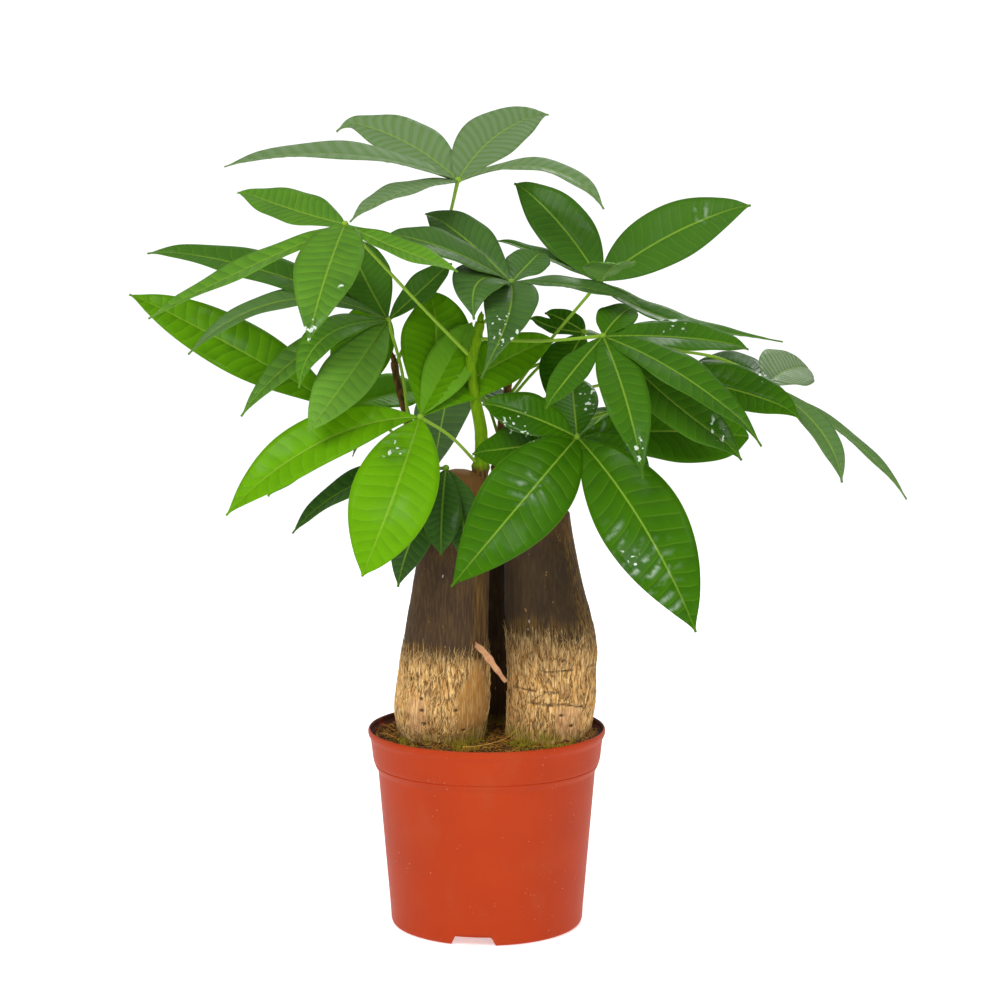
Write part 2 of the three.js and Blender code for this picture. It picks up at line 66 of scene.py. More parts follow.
# Pot: (radius, height) of its outline in mm from the foot up, and the sizes in mm of its wall, floor, notches
# and drains
POT_OUTLINE = [
    (60, 0), (60.8, 2), (61.3, 10), (68.7, 98), (70.2, 100.4), (71.3, 103), (71.9, 106), (73.3, 118),
    (74.9, 121), (75, 123.5),
]
POT_WALL = 1.6
FOOT_RING_WIDTH = 2
FLOOR_THICKNESS = 2
NOTCH_COUNT = 3
NOTCH_HEIGHT = 5.5
NOTCH_TOP_WIDTH = 23
NOTCH_FOOT_WIDTH = 28
NOTCH_TURN = -8
DRAIN_COUNT = 6
DRAIN_RADIUS = 4
DRAIN_CIRCLE = 38
SOIL_LEVEL = 118

# Leaflets: how they fold and taper, and the powers of the two ends of their outline
BLADE_THICKNESS = 0.8
BLADE_FOLD = 0.16
BLADE_FOOT_WIDTH = 1.6
BLADE_FOOT_POWER = 1.1
BLADE_TIP_POWER = 1
BLADE_DRIP = 1.5
DRIP_START = 0.84
STALK_RADIUS = 1
STALK_SWELLING = 0.35
HUB_RADIUS = 2.1
STUMP_LOBES = ((3, 0.018), (5, 0.01))
SHOOT_FLARE = 0.5
SHOOT_FLARE_SHARE = 0.08

# Stumps. Each ring is (height, centre x, radius) in mm, from the buried foot to the cut top.
STUMPS = {
    "trunk_left": {
        "depth": -10,
        "rings": [
            (75, -27, 20), (100, -27.2, 21.5), (118, -27.6, 24.6), (129, -29, 27.8), (140, -28.8, 29.2),
            (160, -27.4, 28.2), (182, -26, 26.4), (212, -23.2, 24), (245, -20, 21.2), (266, -17, 17.5),
            (280, -14.5, 13.5), (289, -13, 11),
        ],
    },
    "trunk_right": {
        "depth": -7,
        "rings": [
            (75, 37, 21), (100, 37.5, 23.5), (118, 38, 25), (130, 39.7, 26.2), (142, 41, 27.2),
            (160, 41.5, 27.2), (178, 41.4, 27.9), (192, 39.6, 27.2), (206, 37.4, 25.6), (232, 34.5, 22.8),
            (252, 33.5, 20), (266, 34, 17.8),
        ],
    },
    "trunk_back": {
        "depth": 42,
        "rings": [
            (75, 4, 20), (100, 4.5, 22), (122, 5, 23), (150, 5.5, 22.6), (180, 6, 21.4), (210, 6, 19.8),
            (240, 5, 17.6), (262, 4, 15.6), (276, 3, 13.6),
        ],
    },
}

SHOOTS = {
    "shoot_front": {
        "path": [
            (478, 486, -8), (481, 462, -9), (481, 432, -10), (474, 392, -11), (471, 362, -12),
            (477, 340, -12), (480, 322, -12),
        ],
        "radii": (4.6, 2.6),
        "slot": "green_shoot",
    },
    "shoot_left": {
        "path": [
            (441, 520, -2), (431, 492, 0), (419, 462, 4), (407, 417, 10), (398, 384, 15), (394, 362, 18),
        ],
        "radii": (3.6, 2.1),
        "slot": "woody_shoot",
    },
    "shoot_right": {
        "path": [(531, 524, -2), (524, 490, 4), (515, 450, 11), (509, 412, 17), (507, 380, 21)],
        "radii": (3.8, 2.6),
        "slot": "woody_shoot",
    },
    "shoot_back": {
        "path": [(492, 520, 43), (495, 480, 48), (500, 440, 56), (503, 405, 62)],
        "radii": (3.6, 2.4),
        "slot": "woody_shoot",
    },
}

# Leaves. The stalk leaves its shoot at the share `from` and runs over `stalk` to the hub. Each leaflet runs
# from the hub over `over` to its tip. width is in mm, tilt is how far its face leans to the front in
# degrees, drip is how far its tip hangs in mm, and foot and point are the powers of its outline. tone goes
# from dark to young green, and grey is its grey bloom, with the sky's sheen painted into it. A leaflet's own
# tilt, tone and grey come before its leaf's.
LEAVES = {
    "leaf_top": {
        "shoot": "shoot_left", "from": 0.97, "stalk": [(424, 300, 28), (448, 222, 26)],
        "hub": (458, 180, 4), "tilt": 30, "tone": 0.5, "grey": 0.66,
        "leaflets": [
            dict(tip=(224, 164, -20), over=(345, 154, -14), width=33, tilt=20, point=1.15),
            dict(tip=(336, 119, 52), over=(402, 140, 36), width=35, tilt=46, foot=0.95, point=1.2, drip=8),
            dict(tip=(549, 112, 58), over=(497, 135, 36), width=38, tilt=46, foot=0.85, point=1.05),
            dict(tip=(604, 204, -24), over=(541, 167, -10), width=21, tilt=22, drip=3),
            dict(tip=(350, 219, -66), over=(398, 193, -36), width=25, tilt=14, foot=0.9, point=1.3),
        ],
    },
    "leaf_upper_left": {
        "shoot": "shoot_front", "from": 0.78, "stalk": [(420, 305, -28)],
        "hub": (345, 224, -52), "tilt": 32, "tone": 0.72, "grey": 0.12,
        "leaflets": [
            dict(tip=(237, 189, -20), over=(292, 209, -38), width=32, tilt=36, foot=0.9, drip=2),
            dict(tip=(148, 316, -84), over=(255, 264, -72), width=22, tilt=24),
            dict(tip=(308, 341, -118), over=(325, 278, -96), width=39, foot=0.75, point=1.2),
            dict(tip=(458, 269, -70), over=(400, 249, -64), width=20, tilt=30),
            dict(tip=(318, 264, 10), over=(334, 242, -18), width=30),
        ],
    },
    "leaf_centre": {
        "shoot": "shoot_front", "from": 0.97, "stalk": [(494, 312, -14)],
        "hub": (511, 282, -24), "tilt": 34, "tone": 0.3, "grey": 0.17,
        "leaflets": [
            dict(tip=(425, 211, 6), over=(467, 240, -8), width=31, tilt=42),
            dict(tip=(386, 233, -52), over=(450, 250, -44), width=30, tilt=34),
            dict(tip=(542, 250, 14), over=(527, 265, -3), width=27, tilt=40),
            dict(tip=(640, 303, -34), over=(575, 286, -32), width=24, tilt=16),
            dict(tip=(481, 376, -82), over=(507, 320, -62), width=33, foot=0.65, point=1.6),
            dict(tip=(474, 317, -66), over=(479, 281, -50), width=33, tilt=40, foot=0.9, point=1.15),
        ],
    },
    "leaf_upper_right": {
        "shoot": "shoot_right", "from": 0.88, "stalk": [(548, 343, 28), (573, 313, 22)],
        "hub": (600, 281, 14), "tilt": 50, "tone": 0.4, "grey": 0.07,
        "leaflets": [
            dict(tip=(514, 181, 50), over=(560, 224, 36), width=35, tilt=66, foot=0.85),
            dict(tip=(751, 203, 40), over=(672, 234, 32), width=38, tilt=70, foot=0.85),
            dict(tip=(618, 262, -44), over=(609, 269, -16), width=32, tilt=14, tone=0.72),
            dict(tip=(496, 238, 40), over=(548, 257, 31), width=15, tilt=18),
            dict(tip=(783, 339, -14), over=(670, 319, 2), width=22, tilt=18, foot=0.95, point=1.35),
        ],
    },
    "leaf_right": {
        "shoot": "shoot_front", "from": 0.9, "stalk": [(540, 341, -30)],
        "hub": (603, 336, -52), "tilt": 40, "tone": 0.38, "grey": 0.03,
        "leaflets": [
            dict(tip=(546, 406, -104), over=(573, 371, -84), width=19, tilt=50),
            dict(tip=(643, 472, -118), over=(625, 396, -98), width=28, foot=0.95, point=1.15, drip=4),
            dict(tip=(762, 438, -96), over=(682, 375, -86), width=29, tilt=34, point=1.2, drip=5),
            dict(tip=(742, 452, -72), over=(672, 401, -66), width=32, tilt=52, drip=5),
            dict(tip=(749, 347, -40), over=(680, 337, -46), width=29, tilt=36),
            dict(tip=(633, 305, -14), over=(616, 319, -36), width=24, tilt=40),
        ],
    },
    "leaf_front": {
        "shoot": "shoot_right", "from": 0.62, "stalk": [(540, 440, -24)],
        "hub": (577, 437, -58), "tilt": 64, "tone": 0.37, "grey": 0.0,
        "leaflets": [
            dict(tip=(451, 586, -96), over=(520, 504, -88), width=50, tilt=74, foot=0.9, point=1.1, drip=0.5),
            dict(tip=(696, 630, -98), over=(640, 520, -90), width=51, tilt=76, point=1.05),
            dict(tip=(482, 402, -50), over=(530, 416, -58), width=28, tilt=56),
            dict(tip=(472, 452, -34), over=(524, 446, -50), width=30, tilt=60),
            dict(tip=(571, 374, -4), over=(574, 404, -30), width=30, tilt=40),
            dict(tip=(749, 436, -16), over=(660, 431, -38), width=44, tilt=64, point=0.65, drip=0.5),
            dict(tip=(650, 466, -62), over=(614, 454, -62), width=28, tilt=60),
        ],
    },
    "leaf_low_left": {
        "shoot": "shoot_front", "from": 0.12, "stalk": [(450, 436, -24)],
        "hub": (420, 417, -36), "tilt": 56, "tone": 0.86, "grey": 0.0,
        "leaflets": [
            dict(
                tip=(362, 576, -92), over=(394, 494, -80), width=50,
                tilt=66, foot=0.95, point=0.95, drip=0.5),
            dict(tip=(226, 513, -52), over=(322, 441, -46), width=37, tilt=48),
            dict(tip=(556, 338, 14), over=(490, 368, 4), width=34, tilt=62, tone=0.8),
            dict(tip=(428, 288, 12), over=(436, 346, 0), width=44, tilt=60, tone=0.78),
            dict(tip=(472, 320, 2), over=(450, 366, -10), width=30, tilt=60, tone=0.95, grey=0.1),
        ],
    },
    "leaf_left": {
        "shoot": "shoot_left", "from": 0.62, "stalk": [(402, 372, 6)],
        "hub": (388, 320, 4), "tilt": 46, "tone": 0.82, "grey": 0.08,
        "leaflets": [
            dict(tip=(308, 431, -62), over=(351, 373, -38), width=34, tilt=52, drip=0.5, tone=0.82, grey=0.2),
            dict(tip=(346, 234, 36), over=(364, 276, 22), width=34, tilt=50, tone=0.5),
            dict(tip=(452, 261, 10), over=(422, 289, 8), width=22, tilt=40, tone=0.36),
            dict(tip=(147, 250, 24), over=(262, 270, 18), width=29, tilt=36, point=1.1, drip=2, tone=0.46),
            dict(tip=(188, 352, -10), over=(286, 300, 0), width=18, tilt=36, tone=0.44, grey=0.3),
            dict(tip=(241, 414, -30), over=(312, 347, -16), width=20, tilt=44, tone=0.72, grey=0.15),
            dict(
                tip=(299, 386, -52), over=(326, 336, -36), width=23, tilt=40, foot=0.9, point=1.1, tone=0.66),
        ],
    },
    "leaf_far_left": {
        "shoot": "shoot_left", "from": 0.42, "stalk": [(376, 420, 14)],
        "hub": (344, 410, 22), "tilt": 50, "tone": 0.86, "grey": 0.0,
        "leaflets": [
            dict(tip=(129, 292, 70), over=(240, 350, 50), width=39, tilt=54, tone=0.74),
            # tone 1.1 is lighter than young green: painted light on a leaflet that lies in the shade of
            # leaf_left
            dict(tip=(430, 392, 60), over=(388, 394, 42), width=32, tilt=44, tone=1.1),
            dict(tip=(268, 494, 6), over=(304, 452, 14), width=25, tilt=50),
            dict(tip=(376, 296, 62), over=(362, 350, 46), width=40, tilt=60),
            dict(tip=(330, 403, 100), over=(338, 405, 62), width=28, tilt=30),
        ],
    },
    "leaf_low": {
        "shoot": "shoot_left", "from": 0.3, "stalk": [(442, 468, -14)],
        "hub": (446, 468, -28), "tilt": 50, "tone": 0.2, "grey": 0.1,
        "leaflets": [
            dict(tip=(398, 584, -44), over=(415, 530, -44), width=25, tilt=70, point=1.1, drip=2),
            dict(tip=(441, 553, -62), over=(442, 512, -54), width=24, tilt=70),
            dict(tip=(461, 558, -56), over=(462, 514, -48), width=22, tilt=70),
            dict(tip=(292, 531, -30), over=(364, 480, -34), width=24, tilt=30),
        ],
    },
    "leaf_far_right": {
        "shoot": "shoot_right", "from": 0.98,
        "stalk": [(530, 368, 34), (565, 356, 50), (620, 344, 50), (680, 351, 44), (724, 360, 40)],
        "hub": (766, 385, 38), "tilt": 34, "tone": 0.44, "grey": 0.7,
        "leaflets": [
            dict(tip=(809, 366, 92), over=(785, 371, 62), width=38, tilt=56, grey=1.0),
            dict(tip=(907, 497, 20), over=(848, 436, 30), width=14, tilt=16, point=1.2, grey=0.4),
            dict(tip=(842, 480, 0), over=(818, 427, 20), width=17, tilt=40, grey=0.35),
            dict(tip=(694, 362, 98), over=(732, 362, 76), width=26, tilt=22, tone=0.2, grey=0),
        ],
    },
    "leaf_right_behind": {
        "shoot": "shoot_right", "from": 0.8, "stalk": [(570, 392, 30)],
        "hub": (644, 376, 38), "tilt": 50, "tone": 0.44, "grey": 0.0,
        "leaflets": [
            dict(tip=(800, 414, 2), over=(728, 388, 24), width=34, tilt=52, drip=3),
            dict(tip=(730, 434, 20), over=(690, 410, 28), width=32, tilt=56),
            dict(tip=(730, 392, 112), over=(690, 382, 80), width=36, tilt=20),
            dict(tip=(640, 378, 132), over=(642, 372, 88), width=36, tilt=10),
        ],
    },
    "leaf_centre_behind": {
        "shoot": "shoot_back", "from": 0.97, "stalk": [(540, 366, 60)],
        "hub": (584, 332, 48), "tilt": 40, "tone": 0.3, "grey": 0.0,
        "leaflets": [
            dict(tip=(545, 311, 50), over=(570, 323, 52), width=15, tilt=72, foot=0.8, point=0.8),
            dict(tip=(549, 398, 18), over=(566, 364, 32), width=32, tilt=50),
            dict(tip=(530, 316, 42), over=(553, 327, 46), width=11, tilt=50),
            dict(tip=(640, 350, 120), over=(612, 340, 86), width=32, tilt=20),
        ],
    },
    "leaf_back_left": {
        "shoot": "shoot_back", "from": 0.7, "stalk": [(482, 396, 84)],
        "hub": (452, 384, 112), "tilt": 10, "tone": 0.2, "grey": 0.0,
        "leaflets": [
            dict(tip=(318, 436, 102), over=(380, 396, 110), width=34),
            dict(tip=(352, 454, 178), over=(396, 402, 152), width=38),
            dict(tip=(432, 474, 208), over=(444, 410, 170), width=40),
            dict(tip=(528, 456, 184), over=(496, 404, 154), width=38),
            dict(tip=(552, 436, 108), over=(504, 400, 112), width=30),
        ],
    },
    "leaf_back_right": {
        "shoot": "shoot_back", "from": 0.45, "stalk": [(560, 430, 80)],
        "hub": (614, 410, 104), "tilt": 10, "tone": 0.25, "grey": 0.0,
        "leaflets": [
            dict(tip=(512, 470, 150), over=(558, 424, 132), width=32),
            dict(tip=(562, 494, 194), over=(590, 430, 156), width=38),
            dict(tip=(622, 474, 200), over=(620, 424, 160), width=34),
            dict(tip=(706, 440, 158), over=(670, 418, 134), width=38),
            dict(tip=(716, 446, 88), over=(666, 420, 96), width=32),
        ],
    },
}


# Geometry: every piece is made of skins, which are rings of points with a point at each end.

LATTICE_SIZE = 64
CURVE_STEPS = 24


@dataclass
class Skin:
    """A closed surface: its points, its four-sided and three-sided faces, and fields of a number a point."""
    points: np.ndarray
    quads: np.ndarray
    tris: np.ndarray
    fields: dict


def unit(vectors):
    """Vectors divided by their lengths."""
    return vectors / np.maximum(np.linalg.norm(vectors, axis=-1, keepdims=True), 1e-12)


def rise(values, low, high):
    """0 below low, 1 above high, and s*s*(3 - 2*s) between them."""
    share = np.clip((values - low) / (high - low), 0, 1)
    return share * share * (3 - 2 * share)


def sighted(sightings):
    """Places in metres of (column, row, depth) sightings: the eye plus the pixel's ray, as far as the
    depth."""
    seen = np.atleast_2d(np.array(sightings, float))
    ahead = np.array([0, math.cos(EYE_TILT), -math.sin(EYE_TILT)])
    upward = np.array([0, math.sin(EYE_TILT), math.cos(EYE_TILT)])
    ray = ahead + upward * ((PICTURE_SIZE / 2 - seen[:, 1:2]) / EYE_FOCUS)
    ray[:, 0] += (seen[:, 0] - PICTURE_SIZE / 2) / EYE_FOCUS
    reach = (POT_AXIS[1] + seen[:, 2] * MM - EYE[1]) / ray[:, 1]
    return EYE + ray * reach[:, None]


def smooth_path(knots, count):
    """A centripetal Catmull-Rom curve through the knots, as `count` points evenly spaced along it."""
    knots = np.array(knots, float)
    knots = np.vstack([2 * knots[0] - knots[1], knots, 2 * knots[-1] - knots[-2]])
    gaps = np.sqrt(np.linalg.norm(np.diff(knots, axis=0), axis=1))
    times = np.concatenate([[0], np.cumsum(gaps)])
    u = np.linspace(times[1], times[-2], CURVE_STEPS * count)
    i = np.clip(np.searchsorted(times, u, side="right") - 1, 1, len(knots) - 3)

    def between(a, b, ta, tb):
        share = ((u - ta) / (tb - ta))[:, None]
        return a * (1 - share) + b * share

    p = [knots[i + k] for k in (-1, 0, 1, 2)]
    t = [times[i + k] for k in (-1, 0, 1, 2)]
    low, middle, high = (between(p[k], p[k + 1], t[k], t[k + 1]) for k in range(3))
    curve = between(between(low, middle, t[0], t[2]), between(middle, high, t[1], t[3]), t[1], t[2])
    run = np.concatenate([[0], np.cumsum(np.linalg.norm(np.diff(curve, axis=0), axis=1))])
    even = np.linspace(0, run[-1], count)
    return np.stack([np.interp(even, run, curve[:, axis]) for axis in range(3)], axis=1)


def lattice_noise(u, v, seed, wrap=None):
    """Smooth noise from -1 to 1: random numbers on a square lattice, blended with weights s*s*(3 - 2*s)
    between its points. Along u it repeats after `wrap` cells."""
    size = LATTICE_SIZE
    table = np.random.default_rng(seed).uniform(-1, 1, (size, size))
    wrap = wrap or size
    cell_u, cell_v = np.floor(u).astype(int), np.floor(v).astype(int)
    share_u, share_v = u - cell_u, v - cell_v
    share_u, share_v = share_u * share_u * (3 - 2 * share_u), share_v * share_v * (3 - 2 * share_v)

    def at(du, dv):
        return table[(cell_u + du) % wrap % size, (cell_v + dv) % size]

    near = at(0, 0) * (1 - share_u) + at(1, 0) * share_u
    far = at(0, 1) * (1 - share_u) + at(1, 1) * share_u
    return near * (1 - share_v) + far * share_v


def skin(rings, fields):
    """A closed skin over an array of rings [ring, place, xyz], with each end drawn to the middle of its last
    ring. The faces are turned outwards by the sign of the volume that they enclose."""
    count, around = rings.shape[:2]
    points = np.vstack([rings.reshape(-1, 3), rings[0].mean(0), rings[-1].mean(0)])
    ring, place = np.meshgrid(np.arange(count - 1), np.arange(around), indexing="ij")
    here, beside = ring * around + place, ring * around + (place + 1) % around
    quads = np.stack([here, beside, beside + around, here + around], axis=-1).reshape(-1, 4)
    rim = np.arange(around)
    last = (count - 1) * around
    low = np.stack([np.full(around, len(points) - 2), (rim + 1) % around, rim], axis=1)
    high = np.stack([np.full(around, len(points) - 1), last + rim, last + (rim + 1) % around], axis=1)
    tris = np.vstack([low, high])
    corners = points[np.vstack([quads[:, [0, 1, 2]], quads[:, [0, 2, 3]], tris])] - points.mean(0)
    if np.einsum("ij,ij->i", corners[:, 0], np.cross(corners[:, 1], corners[:, 2])).sum() < 0:
        quads, tris = quads[:, ::-1], tris[:, ::-1]
    spread = {}
    for name, values in fields.items():
        grid = np.broadcast_to(np.asarray(values, float), (count, around))
        spread[name] = np.concatenate([grid.ravel(), [grid[0].mean(), grid[-1].mean()]])
    return Skin(points, quads, tris, spread)


def tube(path, radii, around, fields, relief=0.0):
    """A tube round a path: each ring is path + radius * (cos * first + sin * second), where first and second
    are square to the path. relief adds to the radius at [ring, place]."""
    tangent = unit(np.gradient(path, axis=0))
    chord = unit(path[-1] - path[0])
    spare = np.eye(3)[np.argmin(np.abs(chord))]
    first = unit(np.cross(tangent, spare))
    second = np.cross(tangent, first)
    angle = np.linspace(0, 2 * math.pi, around, endpoint=False)
    radius = np.broadcast_to(np.asarray(radii, float)[:, None], (len(path), around)) + relief
    turn = np.cos(angle)[None, :, None] * first[:, None] + np.sin(angle)[None, :, None] * second[:, None]
    return skin(path[:, None] + radius[..., None] * turn, fields)


def placed(name, data):
    """A new object in the scene that holds the data."""
    thing = bpy.data.objects.new(name, data)
    bpy.context.scene.collection.objects.link(thing)
    return thing


def make_piece(name, skins, material, replaces=()):
    """Joins skins in one mesh object at the origin, which rides on the plant's body."""
    starts = np.cumsum([0] + [len(s.points) for s in skins])[:-1]
    points = np.vstack([s.points for s in skins])
    quads = np.vstack([s.quads + start for s, start in zip(skins, starts)])
    tris = np.vstack([s.tris + start for s, start in zip(skins, starts)])
    corners = np.concatenate([quads.ravel(), tris.ravel()])
    first = np.concatenate([np.arange(len(quads)) * 4, quads.size + np.arange(len(tris)) * 3])
    mesh = bpy.data.meshes.new(name)
    mesh.vertices.add(len(points))
    mesh.vertices.foreach_set("co", points.astype(np.float32).ravel())
    mesh.loops.add(len(corners))
    mesh.loops.foreach_set("vertex_index", corners.astype(np.int32))
    mesh.polygons.add(len(first))
    mesh.polygons.foreach_set("loop_start", first.astype(np.int32))
    mesh.polygons.foreach_set("use_smooth", np.ones(len(first), bool))
    for key in skins[0].fields:
        values = np.concatenate([s.fields[key] for s in skins])
        mesh.attributes.new(key, "FLOAT", "POINT").data.foreach_set("value", values.astype(np.float32))
    mesh.update(calc_edges=True)
    mesh.validate()
    mesh.materials.append(material)
    piece = placed(name, mesh)
    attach(piece, "root")
    if replaces:
        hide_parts(*replaces)
    return piece


# Materials: sums on a Value write themselves as Math nodes.

class Value:
    """A number or colour that a node gives. Arithmetic on it adds Math nodes."""

    def __init__(self, recipe, socket):
        self.recipe = recipe
        self.socket = socket

    def math(self, operation, *inputs):
        values = dict(enumerate(inputs))
        return self.recipe.node("ShaderNodeMath", {"operation": operation}, values)

    def __add__(self, other):
        return self.math("ADD", self, other)

    def __sub__(self, other):
        return self.math("SUBTRACT", self, other)

    def __rsub__(self, other):
        return self.math("SUBTRACT", other, self)

    def __mul__(self, other):
        return self.math("MULTIPLY", self, other)

    __radd__ = __add__
    __rmul__ = __mul__

    def bell(self, width):
        """1 where the value is 0, falling to nothing a few widths away: exp(-(value / width) squared)."""
        share = self * (1 / width)
        return self.math("EXPONENT", share * share * -1.0)

    def step(self, low, high):
        """0 below low, 1 above high, and a smooth rise between them."""
        settings = {"interpolation_type": "SMOOTHSTEP"}
        values = {"Value": self, "From Min": low, "From Max": high, "To Min": 0.0, "To Max": 1.0}
        return self.recipe.node("ShaderNodeMapRange", settings, values)


# Sockets of a Mix node that blends colours
MIX_SHARE, MIX_LOW, MIX_HIGH, MIX_RESULT = 0, 6, 7, 2


class Recipe:
    """A material whose nodes come from one method."""

    def __init__(self, name):
        self.material = bpy.data.materials.new(name)
        self.material.use_nodes = True
        self.tree = self.material.node_tree
        self.tree.nodes.clear()
        self.place = self.node("ShaderNodeTexCoord", out="Object")

    def node(self, kind, settings=None, values=None, out=0):
        """A node of a kind with its settings and socket values, which may be links, as its output `out`."""
        node = self.tree.nodes.new(kind)
        for key, setting in (settings or {}).items():
            setattr(node, key, setting)
        for key, value in (values or {}).items():
            if isinstance(value, Value):
                self.tree.links.new(value.socket, node.inputs[key])
            else:
                node.inputs[key].default_value = value
        return Value(self, node.outputs[out])

    def attribute(self, name):
        return self.node("ShaderNodeAttribute", {"attribute_name": name}, out="Fac")

    def noise(self, scale, detail, stretch=(1, 1, 1)):
        """Noise of about `scale` lumps a metre, from 0 to 1, drawn out by `stretch` along each axis."""
        size = tuple(1 / s for s in stretch)
        place = self.node("ShaderNodeMapping", None, {"Vector": self.place, "Scale": size})
        values = {"Vector": place, "Scale": scale, "Detail": detail}
        return self.node("ShaderNodeTexNoise", None, values, "Fac")

    def blend(self, share, low, high):
        """The colour low where share is 0 and high where it is 1."""
        settings = {"data_type": "RGBA", "clamp_factor": True}
        sockets = {MIX_SHARE: share, MIX_LOW: self.colour(low), MIX_HIGH: self.colour(high)}
        return self.node("ShaderNodeMix", settings, sockets, out=MIX_RESULT)

    def paint(self, colour, *coats):
        """A colour under coats of (share, colour), each blended over what is there."""
        for share, tint in coats:
            colour = self.blend(share, colour, tint)
        return colour

    def colour(self, colour):
        return colour if isinstance(colour, Value) else (*colour[:3], 1.0)

    def bump(self, height, distance):
        """A normal that follows a height from 0 to 1 that stands `distance` metres high."""
        values = {"Height": height, "Distance": distance, "Strength": 1.0}
        return self.node("ShaderNodeBump", None, values, out="Normal")

    def finish(self, **values):
        """Ends in a Principled shader. Names of its sockets are given with _ for each space."""
        sockets = {key.replace("_", " "): value for key, value in values.items()}
        sockets["Base Color"] = self.colour(sockets["Base Color"])
        shader = self.node("ShaderNodeBsdfPrincipled", None, sockets)
        output = self.tree.nodes.new("ShaderNodeOutputMaterial")
        self.tree.links.new(shader.socket, output.inputs["Surface"])
        return self.material


def colour_property(name, description, default):
    return bpy.props.FloatVectorProperty(
        name=name, description=description, default=default, size=3, min=0, max=1, subtype="COLOR")


def length_property(name, description, default):
    return bpy.props.FloatProperty(
        name=name, description=description, default=default, unit="LENGTH", precision=5)


class LeafSettings(bpy.types.PropertyGroup):
    veins: bpy.props.FloatProperty(
        name="Veins", description="How many side veins stand along the midrib", default=16.0, min=4)
    quilt_height: length_property("Quilting", "How far the blade rises between its side veins", 0.0009)
    margin_wave: length_property("Margin wave", "How far the edge of a leaflet waves", 0.0006)
    dark_green: colour_property("Dark green", "Colour of the darkest leaves", (0.007, 0.045, 0.001))
    mid_green: colour_property("Mid green", "Colour of most leaves", (0.040, 0.140, 0.001))
    young_green: colour_property("Young green", "Colour of the youngest leaves", (0.125, 0.340, 0.002))
    # Grey green is blended in for the bloom, which has the sky's sheen painted into it, and for the paler
    # underside
    grey_green: colour_property("Grey green", "Colour of leaves that catch the sky", (0.265, 0.340, 0.205))
    rib_green: colour_property("Rib green", "Colour of midribs, hubs and young stalks", (0.260, 0.430, 0.040))
    # Painted highlight: the near-white colour painted where water glints on a leaf and where the hollows
    # between its veins gleam
    painted_highlight: colour_property("Glint", "Colour of water on a leaf", (0.760, 0.860, 0.740))


class WoodSettings(bpy.types.PropertyGroup):
    dark_bark: colour_property("Dark bark", "Colour of the smooth bark above", (0.058, 0.032, 0.018))
    deep_bark: colour_property("Deep bark", "Colour of the darkest bark", (0.026, 0.017, 0.008))
    olive_bark: colour_property("Olive bark", "Colour of the streaks in the dark bark", (0.108, 0.066, 0.028))
    tan_bark: colour_property("Tan bark", "Colour of the dark bark's tan streaks", (0.255, 0.135, 0.024))
    cork: colour_property("Cork", "Colour of the corky bark below", (0.780, 0.435, 0.142))
    cork_warm: colour_property("Warm cork", "Colour of its warmer patches", (0.430, 0.200, 0.045))
    cork_pale: colour_property("Pale cork", "Colour of its pale strands", (0.990, 0.715, 0.325))
    bare: colour_property("Bare wood", "Colour of the smooth patch without bark", (0.420, 0.190, 0.040))
    worn: colour_property("Worn cork", "Colour of the pinkish worn patches", (0.560, 0.280, 0.140))
    crack: colour_property("Crack", "Colour in the cracks of the cork", (0.140, 0.060, 0.016))
    fleck: colour_property("Fleck", "Colour of the pale flecks on the dark bark", (0.520, 0.500, 0.420))
    neck: colour_property("Neck", "Colour of the bark at the cut top", (0.200, 0.090, 0.022))
    peel: colour_property("Peeled bark", "Colour of the sliver of bark", (0.500, 0.215, 0.105))
    moss_stain: colour_property("Moss stain", "Colour of the bark near the soil", (0.290, 0.235, 0.020))
    relief: length_property("Relief", "Depth of the cracks in the cork", 0.0009)
    green_stem: colour_property("Green stem", "Colour of the young green shoot", (0.105, 0.235, 0.004))
    green_stem_pale: colour_property("Pale green stem", "Colour of its pale streaks", (0.175, 0.320, 0.006))
    woody_stem: colour_property("Woody stem", "Colour of the older shoots", (0.060, 0.040, 0.018))


class SoilSettings(bpy.types.PropertyGroup):
    peat: colour_property("Peat", "Colour of the soil", (0.062, 0.028, 0.006))
    coir: colour_property("Coir", "Colour of the fibres in the soil", (0.420, 0.165, 0.012))
    peat_dry: colour_property("Dry peat", "Colour of the soil where it has dried", (0.140, 0.056, 0.008))
    coir_pale: colour_property("Pale coir", "Colour of the palest fibres", (0.660, 0.370, 0.070))
    moss: colour_property("Moss", "Colour of the moss at the stumps", (0.165, 0.120, 0.008))
    moss_pale: colour_property("Pale moss", "Colour of the tips of the moss", (0.450, 0.360, 0.030))
    relief: length_property("Relief", "Height of the lumps of the soil", 0.0016)


class PotSettings(bpy.types.PropertyGroup):
    plastic: colour_property("Plastic", "Colour of the pot", (0.425, 0.041, 0.006))
    plastic_deep: colour_property("Deep plastic", "Colour of the pot's mottling", (0.372, 0.035, 0.006))
    scuff: colour_property("Scuff", "Colour of the pot's scuffs", (0.400, 0.066, 0.020))
    speck: colour_property("Speck", "Colour of the specks on the pot", (0.720, 0.340, 0.220))
    # Painted shade: the dark colour painted in patches on the inside of the pot, where it lies in shade
    painted_inside_shade: colour_property("Dirt", "Colour of the soil that sticks to the inside", (0.060, 0.024, 0.012))
    roughness: bpy.props.FloatProperty(
        name="Roughness", description="How dull the plastic is", default=0.42, min=0, max=1, subtype="FACTOR")


class StageSettings(bpy.types.PropertyGroup):
    floor: colour_property("Floor", "Colour of the floor", (0.93, 0.93, 0.93))
    glow: bpy.props.FloatProperty(
        name="Glow", description="How much the floor shines by itself", default=0.5, min=0, subtype="FACTOR")
    front: bpy.props.FloatProperty(
        name="Front", description="Brightness of the room in front of the plant", default=0.35, min=0)
    light: bpy.props.FloatProperty(
        name="Light", description="Power of the strongest lamp", default=34.0, min=0, unit="POWER")
